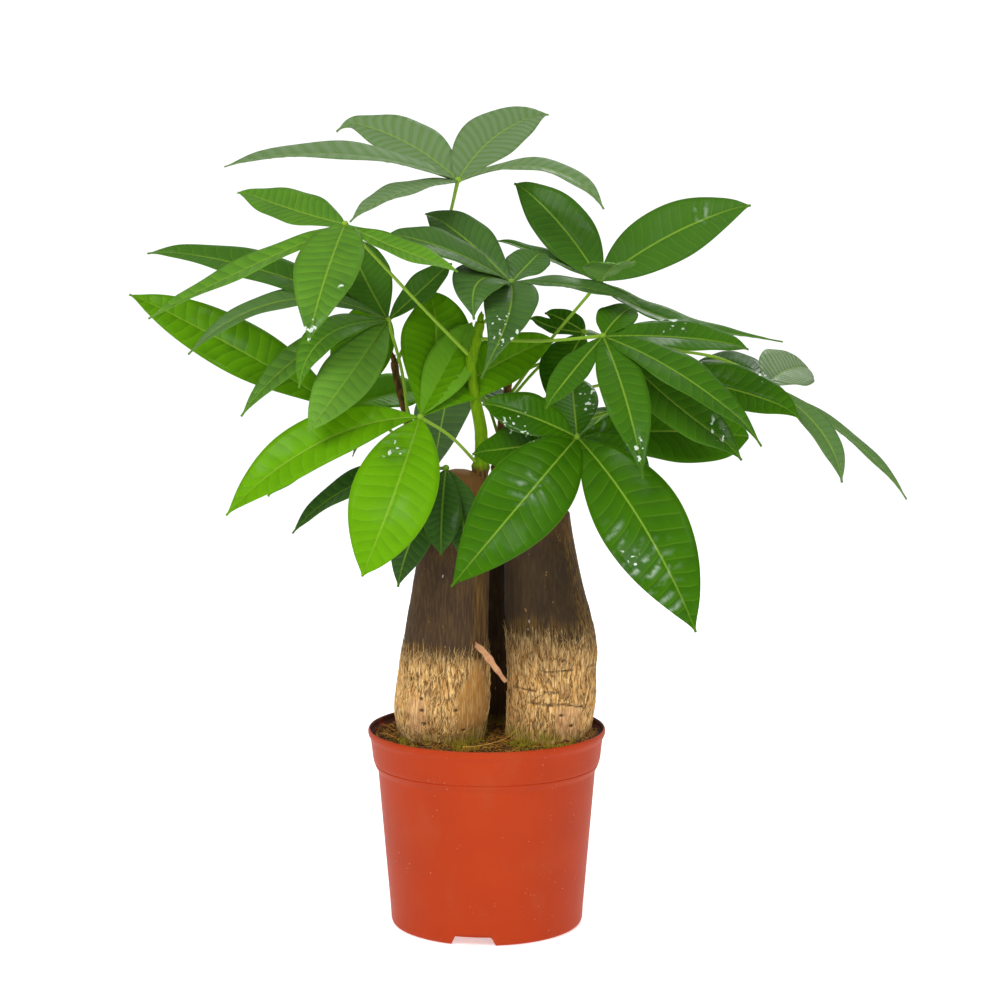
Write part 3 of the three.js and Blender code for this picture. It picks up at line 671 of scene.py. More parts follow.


# Leaves

# Places where water stands on leaves and glints are painted on it, as a sighting and a radius in mm
WET_SPOTS = [
    (505, 330, -66, 13), (516, 424, -54, 11), (530, 432, -56, 7), (394, 452, -70, 8), (308, 330, -116, 8),
    (640, 452, -116, 9), (672, 318, -44, 12), (722, 430, -76, 10), (642, 470, -118, 7), (628, 560, -94, 9),
    (346, 285, -100, 5), (588, 400, -30, 9), (762, 378, 40, 9),
]
# Places where a sheen is painted in the hollows between the veins, in the same form
GLEAM_SPOTS = [
    (646, 570, -94, 13), (617, 535, -92, 6), (530, 488, -88, 8), (398, 444, -72, 6), (600, 424, -62, 5),
    (700, 212, 38, 5), (668, 604, -96, 7),
]
SPOT_SHARE_OF_DEPTH = 0.25
# Blade: its grid, its pinched tip, the half width in metres from which it is at its full relief, its fold and
# droop, and the waves of its edge
BLADE_STATIONS = 80
BLADE_COLUMNS = 7
COLUMN_POWER = 1.4
TIP_LENGTH = 0.05
TIP_PINCH = 0.3
FULL_BODY = 0.006
FOLD_GAIN = 1.55
DROOP = 0.55
MARGIN_WAVES = (2.2, 3.4)
MARGIN_SHIFT = 0.37
EDGE_THINNING = 0.7
# Quilting: its strength on a leaf without bloom, what bloom and patches add, and the shape of its arches
QUILT_LEAST = 0.45
QUILT_GREY = 0.9
QUILT_PATCHES = 0.5
QUILT_POWER = 0.7
QUILT_LEVEL = 0.6
# Side veins: the least and most metres from one to the next, how they slant forwards from the midrib and
# bend back, and how far they wander
VEIN_SPACINGS = (0.0042, 0.0090)
VEIN_SLANT = 0.62
VEIN_CURVE = 9.0
VEIN_WANDER = 0.22
# The midrib's groove above and its ridge beneath: (height, half width) in mm
RIB_GROOVE = (0.5, 0.8)
RIB_RIDGE = (0.9, 1.1)
SHOOT_STEPS = 200
STALK_STEPS = 48
STALK_SIDES = 12
HUB_RINGS = 12
HUB_SIDES = 16
TONE_SPREAD = 0.05
LEAF_IOR = 1.12


def blade_outline(t, foot, point):
    """Half width at the share t of the blade, as a share of the widest: t**foot * (1 - t)**point over its own
    peak, and pinched at the tip itself into a point that water drips from."""
    def full(s):
        return s ** foot * (1 - s) ** point

    pinch = 1 - TIP_PINCH * np.exp(-(((1 - t) / TIP_LENGTH) ** 2))
    return pinch * full(t) / full(foot / (foot + point))


def blade_grid():
    """Shares t along a blade, closer at its ends, and x across it from -1 to 1, closer at its midrib."""
    share = np.linspace(0, 1, BLADE_STATIONS)
    step = np.linspace(-1, 1, 2 * BLADE_COLUMNS + 1)
    t = 0.5 * share + 0.25 * (1 - np.cos(math.pi * share))
    return t[:, None], (np.sign(step) * np.abs(step) ** COLUMN_POWER)[None, :]


def leaflet_rib(hub, leaflet, t):
    """The midrib at the shares t: a parabola from the hub over `over` to the tip, whose end hangs by a
    square."""
    tip, over = sighted([leaflet["tip"], leaflet["over"]])
    control = 2 * over - (hub + tip) / 2
    rib = hub * (1 - t) ** 2 + control * 2 * t * (1 - t) + tip * t ** 2
    drop = leaflet.get("drip", BLADE_DRIP) * MM
    return rib - np.array([0, 0, drop]) * (np.clip(t - DRIP_START, 0, 1) / (1 - DRIP_START)) ** 2


def blade_veins(rib, t, x, half, rng, seed):
    """How many side veins there are from the hub to each place of a blade, and the metres between them."""
    side = x * half
    run = np.concatenate([[0], np.cumsum(np.linalg.norm(np.diff(rib, axis=0), axis=1))])[:, None]
    spacing = np.clip(run[-1] / bpy.context.scene.money_tree_leaf.veins, *VEIN_SPACINGS)
    wander = VEIN_WANDER * lattice_noise(6 * t, 2 * x + 8, seed)
    forward = run - VEIN_SLANT * np.abs(side) + VEIN_CURVE * side ** 2
    return forward / spacing + 0.5 * (x > 0) + rng.uniform(0, 1) + wander, spacing


def blade_lift(t, x, half, vein, spacing, grey, rng, seed):
    """How far a blade's upper side stands off its midrib: a fold in proportion to |x|, less a droop in x
    squared, plus a wave of the edge in x cubed, plus the quilting, which is the size of a sine of the
    distance from one side vein to the next. half is its half width in metres."""
    settings = bpy.context.scene.money_tree_leaf
    body = np.clip(half / FULL_BODY, 0, 1)
    patchy = rise(lattice_noise(3 * t, x + 4, seed + 7), -0.2, 0.6)
    strength = QUILT_LEAST + QUILT_GREY * grey + QUILT_PATCHES * patchy
    arch = np.abs(np.sin(math.pi * vein)) ** QUILT_POWER - QUILT_LEVEL
    arch = arch * np.abs(x) ** 0.5 * (1 - np.abs(x) ** 4)
    quilt = settings.quilt_height * strength * (spacing / VEIN_SPACINGS[1]) ** 0.5 * arch * body
    waves = rng.uniform(*MARGIN_WAVES)
    turns = waves * t + rng.uniform(0, 1) + MARGIN_SHIFT * (x > 0)
    edge = np.sin(2 * math.pi * turns) * np.abs(x) ** 3 * body
    droop = DROOP * half * x ** 2 * BLADE_FOLD
    return FOLD_GAIN * BLADE_FOLD * np.abs(x * half) - droop + settings.margin_wave * edge + quilt


def leaflet_skin(hub, leaflet, leaf, seed):
    """A leaflet: a thin slab on a grid of t along its midrib and x across it, from -1 to 1. The lower side
    is a blade's thickness beneath the upper one. A groove and a ridge run along the midrib: exp(-(side /
    width) squared)."""
    rng = np.random.default_rng(seed)
    grey = leaflet.get("grey", leaf["grey"])
    t, x = blade_grid()
    rib = leaflet_rib(hub, leaflet, t)
    lean = math.radians(leaflet.get("tilt", leaf["tilt"]))
    face = np.array([0, -math.sin(lean), math.cos(lean)])
    tangent = unit(np.gradient(rib, axis=0))
    across = unit(np.cross(face, tangent))
    normal = np.cross(tangent, across)
    powers = leaflet.get("foot", BLADE_FOOT_POWER), leaflet.get("point", BLADE_TIP_POWER)
    half = np.maximum(BLADE_FOOT_WIDTH / 2, leaflet["width"] / 2 * blade_outline(t, *powers)) * MM
    side = x * half
    vein, spacing = blade_veins(rib, t, x, half, rng, seed)
    lift = blade_lift(t, x, half, vein, spacing, grey, rng, seed)
    groove, ridge = (
        high * MM * np.exp(-((side / (width * MM)) ** 2)) for high, width in (RIB_GROOVE, RIB_RIDGE))
    thin = BLADE_THICKNESS * MM * (1 - EDGE_THINNING * np.abs(x) ** 6)

    def surface(height):
        return rib[:, None] + across[:, None] * side[..., None] + normal[:, None] * height[..., None]

    top, bottom = surface(lift - groove), surface(lift - thin - ridge * (1 - t))
    rings = np.concatenate([top, bottom[:, ::-1]], axis=1)

    def doubled(values):
        values = np.broadcast_to(values, (BLADE_STATIONS, x.shape[1]))
        return np.concatenate([values, values[:, ::-1]], axis=1)

    under = np.concatenate([np.zeros_like(x), np.ones_like(x)], axis=1)
    tone = leaflet.get("tone", leaf["tone"]) + rng.uniform(-TONE_SPREAD, TONE_SPREAD)
    fields = {
        "vein": doubled(vein), "side": doubled(side), "share": doubled(x), "along": doubled(t),
        "under": under, "tone": tone, "grey": grey, "stalk": 0.0,
        "wet": nearness(rings, WET_SPOTS), "gleam": nearness(rings, GLEAM_SPOTS),
    }
    return skin(rings, fields)


def nearness(places, spots):
    """How near each place on a leaf is to the closest spot: the largest of exp(-(distance / radius) squared),
    where only a share of a distance in depth counts."""
    near = 0.0
    for middle, (*_, radius) in zip(sighted([spot[:3] for spot in spots]), spots):
        away = np.linalg.norm((places - middle) * (1, SPOT_SHARE_OF_DEPTH, 1), axis=-1)
        near = np.maximum(near, np.exp(-((away / (radius * MM)) ** 2)))
    return near


def stalk_fields(tone):
    """The fields of a leaf's stalk and hub, which have no veins."""
    return {
        "vein": 0.0, "side": 1.0, "share": 0.5, "along": 0.5, "under": 0.0, "tone": tone, "grey": 0.0,
        "stalk": 1.0, "wet": 0.0, "gleam": 0.0,
    }


def leaf_skins(leaf, seed):
    """A stalk that swells towards both ends, a hub, and the leaflets round it."""
    hub = sighted(leaf["hub"])[0]
    shoot = smooth_path(sighted(SHOOTS[leaf["shoot"]]["path"]), SHOOT_STEPS)
    foot = shoot[int(leaf["from"] * (SHOOT_STEPS - 1))]
    path = smooth_path(np.vstack([foot, sighted(leaf["stalk"]), hub]), STALK_STEPS)
    t = np.linspace(0, 1, len(path))
    radii = STALK_RADIUS * MM * (1 + STALK_SWELLING * (2 * t - 1) ** 6)
    stalk = tube(path, radii, STALK_SIDES, stalk_fields(leaf["tone"]))
    turn = np.linspace(0, math.pi, HUB_RINGS)[1:-1]
    away = unit(path[-1] - path[-6])
    middle = hub + away * (-np.cos(turn) * HUB_RADIUS * MM)[:, None]
    knuckle = tube(middle, np.sin(turn) * HUB_RADIUS * MM, HUB_SIDES, stalk_fields(leaf["tone"]))
    blades = [
        leaflet_skin(hub, leaflet, leaf, seed + number) for number, leaflet in enumerate(leaf["leaflets"])
    ]
    return [stalk, knuckle, *blades]


def leaf_material():
    """Green leaf: dark to young green by tone, with painted light and shade on its quilting, a grey bloom
    with the sky's sheen painted in, pale midrib and side veins, a paler underside, water where it is wet with
    painted glints on it, and a painted sheen between the veins."""
    colours = bpy.context.scene.money_tree_leaf
    recipe = Recipe("leaf_blade")
    names = "tone", "grey", "side", "vein", "along", "under", "stalk", "share", "wet", "gleam"
    tone, grey, side, vein, along, under, stalk, share, wet, gleam = (
        recipe.attribute(name) for name in names)
    near = vein.math("FRACT", vein) - 0.5
    crest = near.math("ABSOLUTE", near)
    line = (0.5 - crest).bell(0.05)
    edge = share.math("ABSOLUTE", share)
    inner = 1 - edge.step(0.75, 1.0)
    # Tone with a random mottle, plus painted light and shade: each side vein lightens the blade on one side
    # and darkens it on the other, as if the quilting were lit from one side
    tone_and_painted_light = tone + (recipe.noise(60, 4) - 0.5) * 0.26 + near * inner * 0.13
    # Grey bloom with the sky's sheen painted in, weaker near the side veins
    bloom_and_sky_sheen = grey * (0.74 - grey * crest.step(0.12, 0.42) * 0.34)
    midrib = side.bell(0.0005) * (1 - along.step(0.6, 1.0) * 0.7)
    stem = recipe.blend(tone.step(-0.3, 0.7), colours.mid_green, colours.rib_green)
    # Drops of water: small bumps, painted near white as glints
    drops_and_painted_glints = (recipe.noise(270, 1.5) + wet * 0.16 - 0.16).step(0.57, 0.61) * wet.step(0.3, 0.7)
    # Painted sheen in the hollows between the veins, near the gleam spots
    painted_vein_sheen = gleam * near.bell(0.2) * recipe.noise(170, 3).step(0.42, 0.66)
    green = recipe.paint(
        colours.dark_green,
        (tone_and_painted_light.step(0.0, 0.5), colours.mid_green),
        (tone_and_painted_light.step(0.5, 1.0), colours.young_green),
        (bloom_and_sky_sheen, colours.grey_green),
        (line * inner * 0.11, colours.rib_green),
        (midrib * (0.75 - grey * 0.3), colours.rib_green),
        (edge.step(0.965, 1.0) * 0.2, colours.rib_green),
        (under * 0.12, colours.grey_green),
        (stalk, stem),
        (wet * 0.35, colours.dark_green),
        (drops_and_painted_glints * 0.8, colours.painted_highlight),
        (painted_vein_sheen * 0.42, colours.painted_highlight),
    )
    satin = recipe.noise(38, 2).step(0.45, 0.62)
    return recipe.finish(
        Base_Color=green,
        Roughness=0.52 - satin * 0.12 + under * 0.2 + grey * 0.08 - wet * 0.2,
        Normal=recipe.bump(recipe.noise(900, 2) * 0.4 - line * inner * 0.6 + drops_and_painted_glints, 0.00012),
        IOR=LEAF_IOR,
        Coat_Weight=wet * 0.4 + satin * 0.08,
        Coat_Roughness=0.12,
    )


class MoneyTreeLeaves(bpy.types.Operator):
    """Makes each leaf: stalk, hub and leaflets"""
    bl_idname = "money_tree.leaves"
    bl_label = "Leaves"

    def execute(self, context):
        material = leaf_material()
        for number, (name, leaf) in enumerate(LEAVES.items()):
            make_piece("fine_" + name, leaf_skins(leaf, 100 * number), material, [name])
        return {"FINISHED"}


# Wood: stumps, shoots and the bark flap

STUMP_AROUND = 180
STUMP_RINGS = 200
STUMP_STATIONS = 300
STUMP_START = 100
TOP_ROUNDING = 4
TOP_DRAW = 0.97
LOBE_RISE = 90
WINDOW_FADE = 6
# Patches: how softly they begin and end in mm, and how much bare wood narrows above its middle
PATCH_FADE = 4
BARE_TOP = (-3, 0)
WORN_TOP = (-4, 4)
BARE_TAPER = 0.5
# Noises on a stump: how many lumps stand round it, how high each is in mm, and what is added to its seed
RAGGED_NOISE = (12, 40, 4)
BLOTCH_NOISE = (20, 9, 8)
DRIFT_NOISE = (9, 14, 1)
CRACK_NOISE = (60, 12, 2)
GRAIN_NOISE = (60, 9, 7)
CORK_RAGGED = 5
BLOTCH_STRENGTH = 0.12
BLOTCH_TURN = 60
CRACK_DRIFT = 1.6
CRACK_WIDTH = 0.16
RING_LUMPS = (14, 30)
RING_BREAKS = (-0.7, -0.3)
RING_WANDER = 1.3
RING_WIDTH = 0.6
# Knots and flecks: how much they are squashed along the height, and their half width in mm
KNOT_SHAPE = (1.6, 1.8)
FLECK_SHAPE = (0.5, 0.6)
# How deep each mark sinks, and how far the cork swells, as shares of the relief's depth
CRACK_SINK = 0.6
KNOT_SINK = 1.3
BARE_SINK = 0.35
CORK_SWELL = 0.45
GRAIN_HEIGHT = 0.2
DIM_FADES = 2.2
DIM_OVER = 3
TAN_SIDE = (42, 130)
NECK_REACH = (26, 12)
STAIN_TOP = (119.0, 131.0)
# Loose strands: how far over the floor they start, their lengths, radii and how far they stand off, in mm,
# and the share of them that are twice as long
STRAND_SEED = 50
STRAND_FOOT = 117
STRAND_LENGTHS = (3.5, 9)
STRAND_RADII = (0.10, 0.24)
STRAND_PROUD = (0.35, 0.65)
STRAND_LIFT = 0.25
STRAND_LEAN = 0.08
STRAND_CURL = 0.02
STRAND_TURNS = (0.7, 1.6)
STRAND_POINTS = 6
STRAND_SIDES = 3
LONG_STRANDS = 0.04
DAMP_TOP = 132
DAMP_REACH = 11
SMOOTH_REACH = 4

# What each stump shows, in mm above the floor and degrees round from its front. cork_top is where its cork
# ends and fade is how softly, deep is how dark its bark is, neck is how brown its top is, and strands is how
# many loose strands are tried on it. Ring cracks are (height, degrees from, degrees to), bare and worn
# patches (from, to, degrees from, degrees to), and knots and flecks (height, degrees).
STUMP_MARKS = {
    "trunk_left": {
        "cork_top": 176, "fade": 6, "seed": 11, "strands": 1250, "neck": 1, "deep": 0.0,
        "ring_cracks": (),
        "bare": ((126, 179, 22, 78),),
        "worn": ((127, 149, -44, -18),),
        "knots": (
            (149, -24), (142, -22), (143, 20), (134, -20), (128, 33), (160, -40), (150, 140), (135, 200),
        ),
        "flecks": ((225, -12), (204, 150)),
    },
    "trunk_right": {
        "cork_top": 186, "fade": 15, "seed": 23, "strands": 1250, "neck": 0.2, "deep": 0.5,
        "ring_cracks": ((167, -12, 78), (153, -65, 10), (144.5, -35, 45), (160, 150, 230)),
        "bare": (),
        "worn": ((125, 145, 10, 40),),
        "knots": ((173, 12), (139, 12), (133, 28), (158, 120), (146, 170), (131, 230)),
        "flecks": ((199, -28), (194, -31)),
    },
    "trunk_back": {
        "cork_top": 120, "fade": 5, "seed": 37, "strands": 80, "neck": 0.2, "deep": 0.3,
        "ring_cracks": ((150, 90, 200),),
        "bare": (),
        "worn": (),
        "knots": ((160, 160), (142, 200), (136, 110)),
        "flecks": ((196, 170),),
    },
}


def stump_rings(stump):
    """The stump's spine and radii, from its rings, as arrays of places in metres and radii in metres."""
    rings = np.array(stump["rings"], float)
    table = smooth_path(np.stack([rings[:, 1], rings[:, 2], rings[:, 0]], axis=1), STUMP_STATIONS)
    heights = np.linspace(STUMP_START, rings[-1, 0], STUMP_RINGS)
    across = np.interp(heights, table[:, 2], table[:, 0])
    radii = np.interp(heights, table[:, 2], table[:, 1])
    down = np.clip((heights - (rings[-1, 0] - TOP_ROUNDING)) / TOP_ROUNDING, 0, 1)
    radii *= np.sqrt(1 - TOP_DRAW * down ** 2)
    spine = np.stack([across, np.full_like(heights, stump["depth"]), heights], axis=1) * MM + POT_AXIS
    return spine, radii * MM


def stump_lobes(turned, height, stump):
    """How far a stump bulges, as a share of its radius: a sum of sines of the degrees round it, which turn
    slowly with the height in mm."""
    phase = height / LOBE_RISE + stump["depth"]
    angle = np.radians(turned) + math.pi / 2
    return sum(deep * np.sin(count * angle + phase) for count, deep in STUMP_LOBES)


def angle_between(turned, degrees):
    """How far one angle is round from another, from -180 to 180 degrees."""
    return (turned - degrees + 180) % 360 - 180


def angle_window(turned, low, high):
    """1 between two angles in degrees round from the front, with soft ends."""
    middle, half = (low + high) / 2, (high - low) / 2
    return 1 - rise(np.abs(angle_between(turned, middle)), half - WINDOW_FADE, half + WINDOW_FADE)


def patches(places, turned, height, top, taper):
    """1 on patches of a stump, with soft ends. `top` is where each fades, from its upper end. A taper draws
    each together above its middle, by that share of its breadth at either side."""
    shown = 0.0
    for low, high, start, end in places:
        fade = high + top[0], high + top[1]
        level = rise(height, low - PATCH_FADE, low + PATCH_FADE) * (1 - rise(height, *fade))
        narrow = taper * (end - start) * rise(height, (low + high) / 2, high)
        shown = np.maximum(shown, level * angle_window(turned, start + narrow, end - narrow))
    return shown


def ring_cracks(places, turned, height, turn, seed):
    """1 along the ring cracks of a stump, which wander up and down a little and break off in places."""
    shown = 0.0
    long, short = RING_LUMPS
    for number, (level, start, end) in enumerate(places):
        wander = RING_WANDER * lattice_noise(turn * long, number, seed + 5, long)
        broken = rise(lattice_noise(turn * short, 7 + number, seed + 6, short), *RING_BREAKS)
        line = np.exp(-(((height - level - wander) / RING_WIDTH) ** 2))
        shown = np.maximum(shown, broken * angle_window(turned, start, end) * line)
    return shown


def dots(places, turned, height, radii, squash, width):
    """1 at some places on a stump, falling off round each: exp(-(distance / width) squared), where distances
    along the height count `squash` times."""
    shown = 0.0
    for level, degrees in places:
        away = np.radians(angle_between(turned, degrees)) * radii / MM
        reach = np.hypot(away, (height - level) * squash)
        shown = np.maximum(shown, np.exp(-((reach / width) ** 2)))
    return shown


def dimness(height, marks):
    """How much the cork is dimmed towards its upper end, at heights in mm."""
    return rise(height, marks["cork_top"] - DIM_FADES * marks["fade"], marks["cork_top"] + DIM_OVER)


def stump_skin(name, stump):
    """A stump: its CAD outline with lobes, and a relief that sinks in cracks, ring cracks and knots.

    Cracks run where a noise drawn out along the height is near 0: exp(-(noise / width) squared), and they
    wander with a second, slower noise. They belong to the cork, which ends at a ragged height."""
    settings = bpy.context.scene.money_tree_wood
    marks = STUMP_MARKS[name]
    spine, radii = stump_rings(stump)
    angle = np.linspace(0, 2 * math.pi, STUMP_AROUND, endpoint=False)[None, :]
    turned, turn = np.degrees(angle) - 90, angle / (2 * math.pi)
    height = (spine[:, 2] / MM)[:, None]
    seed, fade, top = marks["seed"], marks["fade"], stump["rings"][-1][0]

    def noise(cells, size, offset, shift=0.0):
        return lattice_noise(turn * cells + shift, height / size, seed + offset, cells)

    level = marks["cork_top"] + fade - height - CORK_RAGGED * noise(*RAGGED_NOISE)
    cork = np.clip(level / (2 * fade), 0, 1)
    blotch = BLOTCH_STRENGTH * noise(*BLOTCH_NOISE)
    blotched = turned + BLOTCH_TURN * blotch
    bare = patches(marks["bare"], blotched, height, BARE_TOP, BARE_TAPER)
    worn = patches(marks["worn"], blotched, height, WORN_TOP, 0)
    ring = ring_cracks(marks["ring_cracks"], turned, height, turn, seed)
    squash, width = KNOT_SHAPE
    knot = dots(marks["knots"], turned, height, radii[:, None], squash, width / (1 + 2 * blotch))
    fleck = dots(marks["flecks"], turned, height, radii[:, None], *FLECK_SHAPE)
    coarse = noise(*CRACK_NOISE, CRACK_DRIFT * noise(*DRIFT_NOISE))
    smooth = np.maximum(bare, worn)
    crack = np.exp(-((coarse / CRACK_WIDTH) ** 2)) * rise(cork, 0.35, 0.8) * (1 - 0.8 * smooth)
    grain = noise(*GRAIN_NOISE)
    sink = CRACK_SINK * crack + ring + KNOT_SINK * knot + BARE_SINK * bare
    relief = settings.relief * (CORK_SWELL * rise(cork, 0.3, 0.7) - sink) + GRAIN_HEIGHT * MM * grain
    fields = {
        "cork": cork, "crack": crack, "ring": ring, "knot": knot, "bare": bare, "worn": worn,
        "tan": angle_window(turned, *TAN_SIDE) * 0.8 + 0.5 * rise(cork, 0.02, 0.3),
        "fleck": fleck, "height": height, "dim": dimness(height, marks), "deep": marks["deep"],
        "neck": marks["neck"] * rise(height + 5 * grain, *(top - reach for reach in NECK_REACH)),
    }
    lobes = radii[:, None] * stump_lobes(turned, height, stump)
    return tube(spine, radii, STUMP_AROUND, fields, lobes + relief)


def cork_colour(recipe, strand, net, rough):
    """Golden cork in warm patches, with pale strands and thin dark cracks, darker towards its upper end."""
    colours = bpy.context.scene.money_tree_wood
    mesh = (recipe.noise(560, 2, (1, 1, 4)) - 0.5).bell(0.04)
    return recipe.paint(
        colours.cork,
        (recipe.noise(42, 3).step(0.42, 0.66) * 0.8, colours.cork_warm),
        (recipe.attribute("bare") * 0.75, colours.bare),
        (recipe.attribute("worn") * 0.75, colours.worn),
        (strand.step(0.42, 0.66) * (0.25 + rough * 0.6), colours.cork_pale),
        (0.45 - strand.step(0.35, 0.5) * 0.45, colours.cork_warm),
        (net * rough * 0.8, colours.crack),
        (mesh * rough * 0.5, colours.crack),
        (recipe.attribute("dim") * 0.6, colours.olive_bark),
        (recipe.attribute("crack") * 0.6, colours.crack),
    )


def dark_bark_colour(recipe, streak):
    """Dark bark with fine olive and tan streaks, flecks of cork, and a browner top."""
    colours = bpy.context.scene.money_tree_wood
    return recipe.paint(
        colours.dark_bark,
        (streak.step(0.4, 0.68) * 0.75, colours.olive_bark),
        (recipe.noise(45, 3).step(0.45, 0.7) * 0.12, colours.tan_bark),
        (recipe.attribute("deep"), colours.deep_bark),
        (recipe.attribute("tan") * streak.step(0.36, 0.72) * 0.85, colours.tan_bark),
        (recipe.noise(380, 2, (1, 1, 2)).step(0.7, 0.78) * 0.4, colours.cork),
        (recipe.attribute("neck") * 0.8, colours.neck),
    )


def bark_material():
    """Bark: cork below and dark bark above. The cork ends where its share, moved up and down by the streaks,
    falls under a half, so that it frays into points. Ring cracks, knots, flecks and moss lie over both."""
    colours = bpy.context.scene.money_tree_wood
    recipe = Recipe("bark")
    cork, height = recipe.attribute("cork"), recipe.attribute("height")
    strand = recipe.noise(1050, 3, (1, 1, 9))
    streak = recipe.noise(950, 4, (1, 1, 14))
    net = (recipe.noise(330, 3, (1, 1, 3.5)) - 0.5).bell(0.035)
    rough = 1 - recipe.attribute("bare") * 0.85 - recipe.attribute("worn") * 0.6
    ragged = (cork + (strand - 0.5) * 1.3 + (streak - 0.5) * 0.6).step(0.38, 0.62)
    damp = 1 - (height + (recipe.noise(60, 2) - 0.5) * 14).step(*STAIN_TOP)
    colour = recipe.paint(
        dark_bark_colour(recipe, streak),
        (ragged, cork_colour(recipe, strand, net, rough)),
        (recipe.attribute("ring") * 0.85, colours.dark_bark),
        (recipe.attribute("knot").step(0.2, 0.7) * 0.9, colours.dark_bark),
        (recipe.attribute("fleck").step(0.3, 0.7) * 0.8, colours.fleck),
        (damp * recipe.noise(120, 3).step(0.3, 0.55) * 0.9, colours.moss_stain),
    )
    return recipe.finish(
        Base_Color=colour,
        Roughness=0.9 - (1 - cork) * 0.15,
        Normal=recipe.bump(strand * 0.7 + ragged * 0.3 - net * rough * ragged * 0.7, 0.0006),
        Specular_IOR_Level=0.15,
    )


def fibre_skins(stump, marks):
    """Straw-like strands that lie on the cork: each climbs a few mm, wanders a little, and bends off at its
    end."""
    rng = np.random.default_rng(marks["seed"] + STRAND_SEED)
    spine, radii = stump_rings(stump)
    share = np.linspace(0, 1, STRAND_POINTS)
    skins = []
    for _ in range(marks["strands"]):
        low, start = rng.uniform(STRAND_FOOT, marks["cork_top"] + 1), rng.uniform(-math.pi, math.pi)
        length = rng.uniform(*STRAND_LENGTHS) * (2 if rng.random() < LONG_STRANDS else 1)
        degrees = math.degrees(start)
        if on_smooth_place(marks, low, degrees) or crosses_ring(marks, low, low + length, degrees):
            continue
        height = np.clip((low + length * share) * MM, spine[0, 2], spine[-1, 2])
        lean, curl = rng.normal(0, STRAND_LEAN), rng.normal(0, STRAND_CURL)
        turns = rng.uniform(*STRAND_TURNS)
        angle = start + lean * share + curl * np.sin(2 * math.pi * turns * share)
        east, north = (np.interp(height, spine[:, 2], spine[:, axis]) for axis in (0, 1))
        proud = rng.uniform(*STRAND_PROUD) + rng.exponential(STRAND_LIFT) * share ** 2
        lobes = stump_lobes(np.degrees(angle), height / MM, stump)
        radius = np.interp(height, spine[:, 2], radii) * (1 + lobes) + proud * MM
        path = np.stack([east + radius * np.sin(angle), north - radius * np.cos(angle), height], axis=1)
        thick = rng.uniform(*STRAND_RADII) * MM * (1 - 0.7 * (2 * share - 1) ** 2)
        damp = np.clip((DAMP_TOP - height / MM) / DAMP_REACH, 0, 1)[:, None] * rng.uniform(0.3, 1)
        tone = rng.uniform(0, 1)
        dim = dimness(height / MM, marks)[:, None] * rng.uniform(0.3, 1)
        skins.append(tube(path, thick, STRAND_SIDES, {"tone": tone, "damp": damp, "dim": dim}))
    return skins


def on_smooth_place(marks, height, degrees):
    """Whether a place on a stump is bare wood, a worn patch or a knot, where no strands are."""
    for low, high, start, end in marks["bare"] + marks["worn"]:
        inset = BARE_TAPER * (end - start) * max(0, 2 * (height - low) / (high - low) - 1)
        if low < height < high and start + inset < degrees < end - inset:
            return True
    return any(
        abs(height + 2 - level) < SMOOTH_REACH and abs(degrees - turn) < SMOOTH_REACH
        for level, turn in marks["knots"])


def crosses_ring(marks, low, high, degrees):
    """Whether a strand from one height to another would hide a ring crack."""
    return any(
        low - 1 < level < high + 1 and start < degrees < end for level, start, end in marks["ring_cracks"])


def strand_material(name, low, high, stains=()):
    """Loose strands, each of its own shade between two colours, and stained by further (field, colour)
    pairs."""
    recipe = Recipe(name)
    coats = [(recipe.attribute(stain) * 0.9, tint) for stain, tint in stains]
    colour = recipe.paint(low, (recipe.attribute("tone"), high), *coats)
    return recipe.finish(Base_Color=colour, Roughness=0.85, Specular_IOR_Level=0.2)


FLAP_PATH = [(474, 643, -26), (484, 652, -31), (495, 667, -31), (506, 682, -28)]
FLAP_WIDTHS = (3.4, 4.8, 2.4)
FLAP_WIDEST = 0.4
FLAP_THICKNESS = 1.2
FLAP_CURL = 0.25
FLAP_RAGGED = 0.12
FLAP_STEPS = 40
FLAP_SIDES = 12


def flap_skin():
    """A curled sliver: rings round a path, flat ovals that are widest before the middle."""
    path = smooth_path(sighted(FLAP_PATH), FLAP_STEPS)
    t = np.linspace(0, 1, len(path))[:, None]
    tangent = unit(np.gradient(path, axis=0))
    across = unit(np.cross(np.array([0.0, -1.0, 0.0]), tangent))
    normal = np.cross(tangent, across)
    angle = np.linspace(0, 2 * math.pi, FLAP_SIDES, endpoint=False)[None, :]
    ragged = 1 + FLAP_RAGGED * np.sin(25 * t + 3 * np.cos(angle))
    half = np.interp(t, (0, FLAP_WIDEST, 1), FLAP_WIDTHS) / 2 * ragged * MM
    side = half * np.cos(angle)
    deep = FLAP_THICKNESS / 2 * MM * np.sin(angle) * (1 - 0.5 * t) + FLAP_CURL * np.abs(side)
    rings = path[:, None] + across[:, None] * side[..., None] + normal[:, None] * deep[..., None]
    return skin(rings, {"rim": np.abs(np.cos(angle)) ** 3})


def flap_material():
    """Inner bark: pinkish tan with streaks along its length, brown at its torn edges."""
    colours = bpy.context.scene.money_tree_wood
    recipe = Recipe("peeled_bark")
    streak = recipe.noise(700, 3, (1, 1, 3))
    torn = (recipe.attribute("rim") + (streak - 0.5)).step(0.5, 1.0)
    colour = recipe.paint(
        colours.peel, (streak.step(0.35, 0.65) * 0.25, colours.cork_pale), (torn * 0.85, colours.crack))
    return recipe.finish(Base_Color=colour, Roughness=0.85, Normal=recipe.bump(streak, 0.0003))


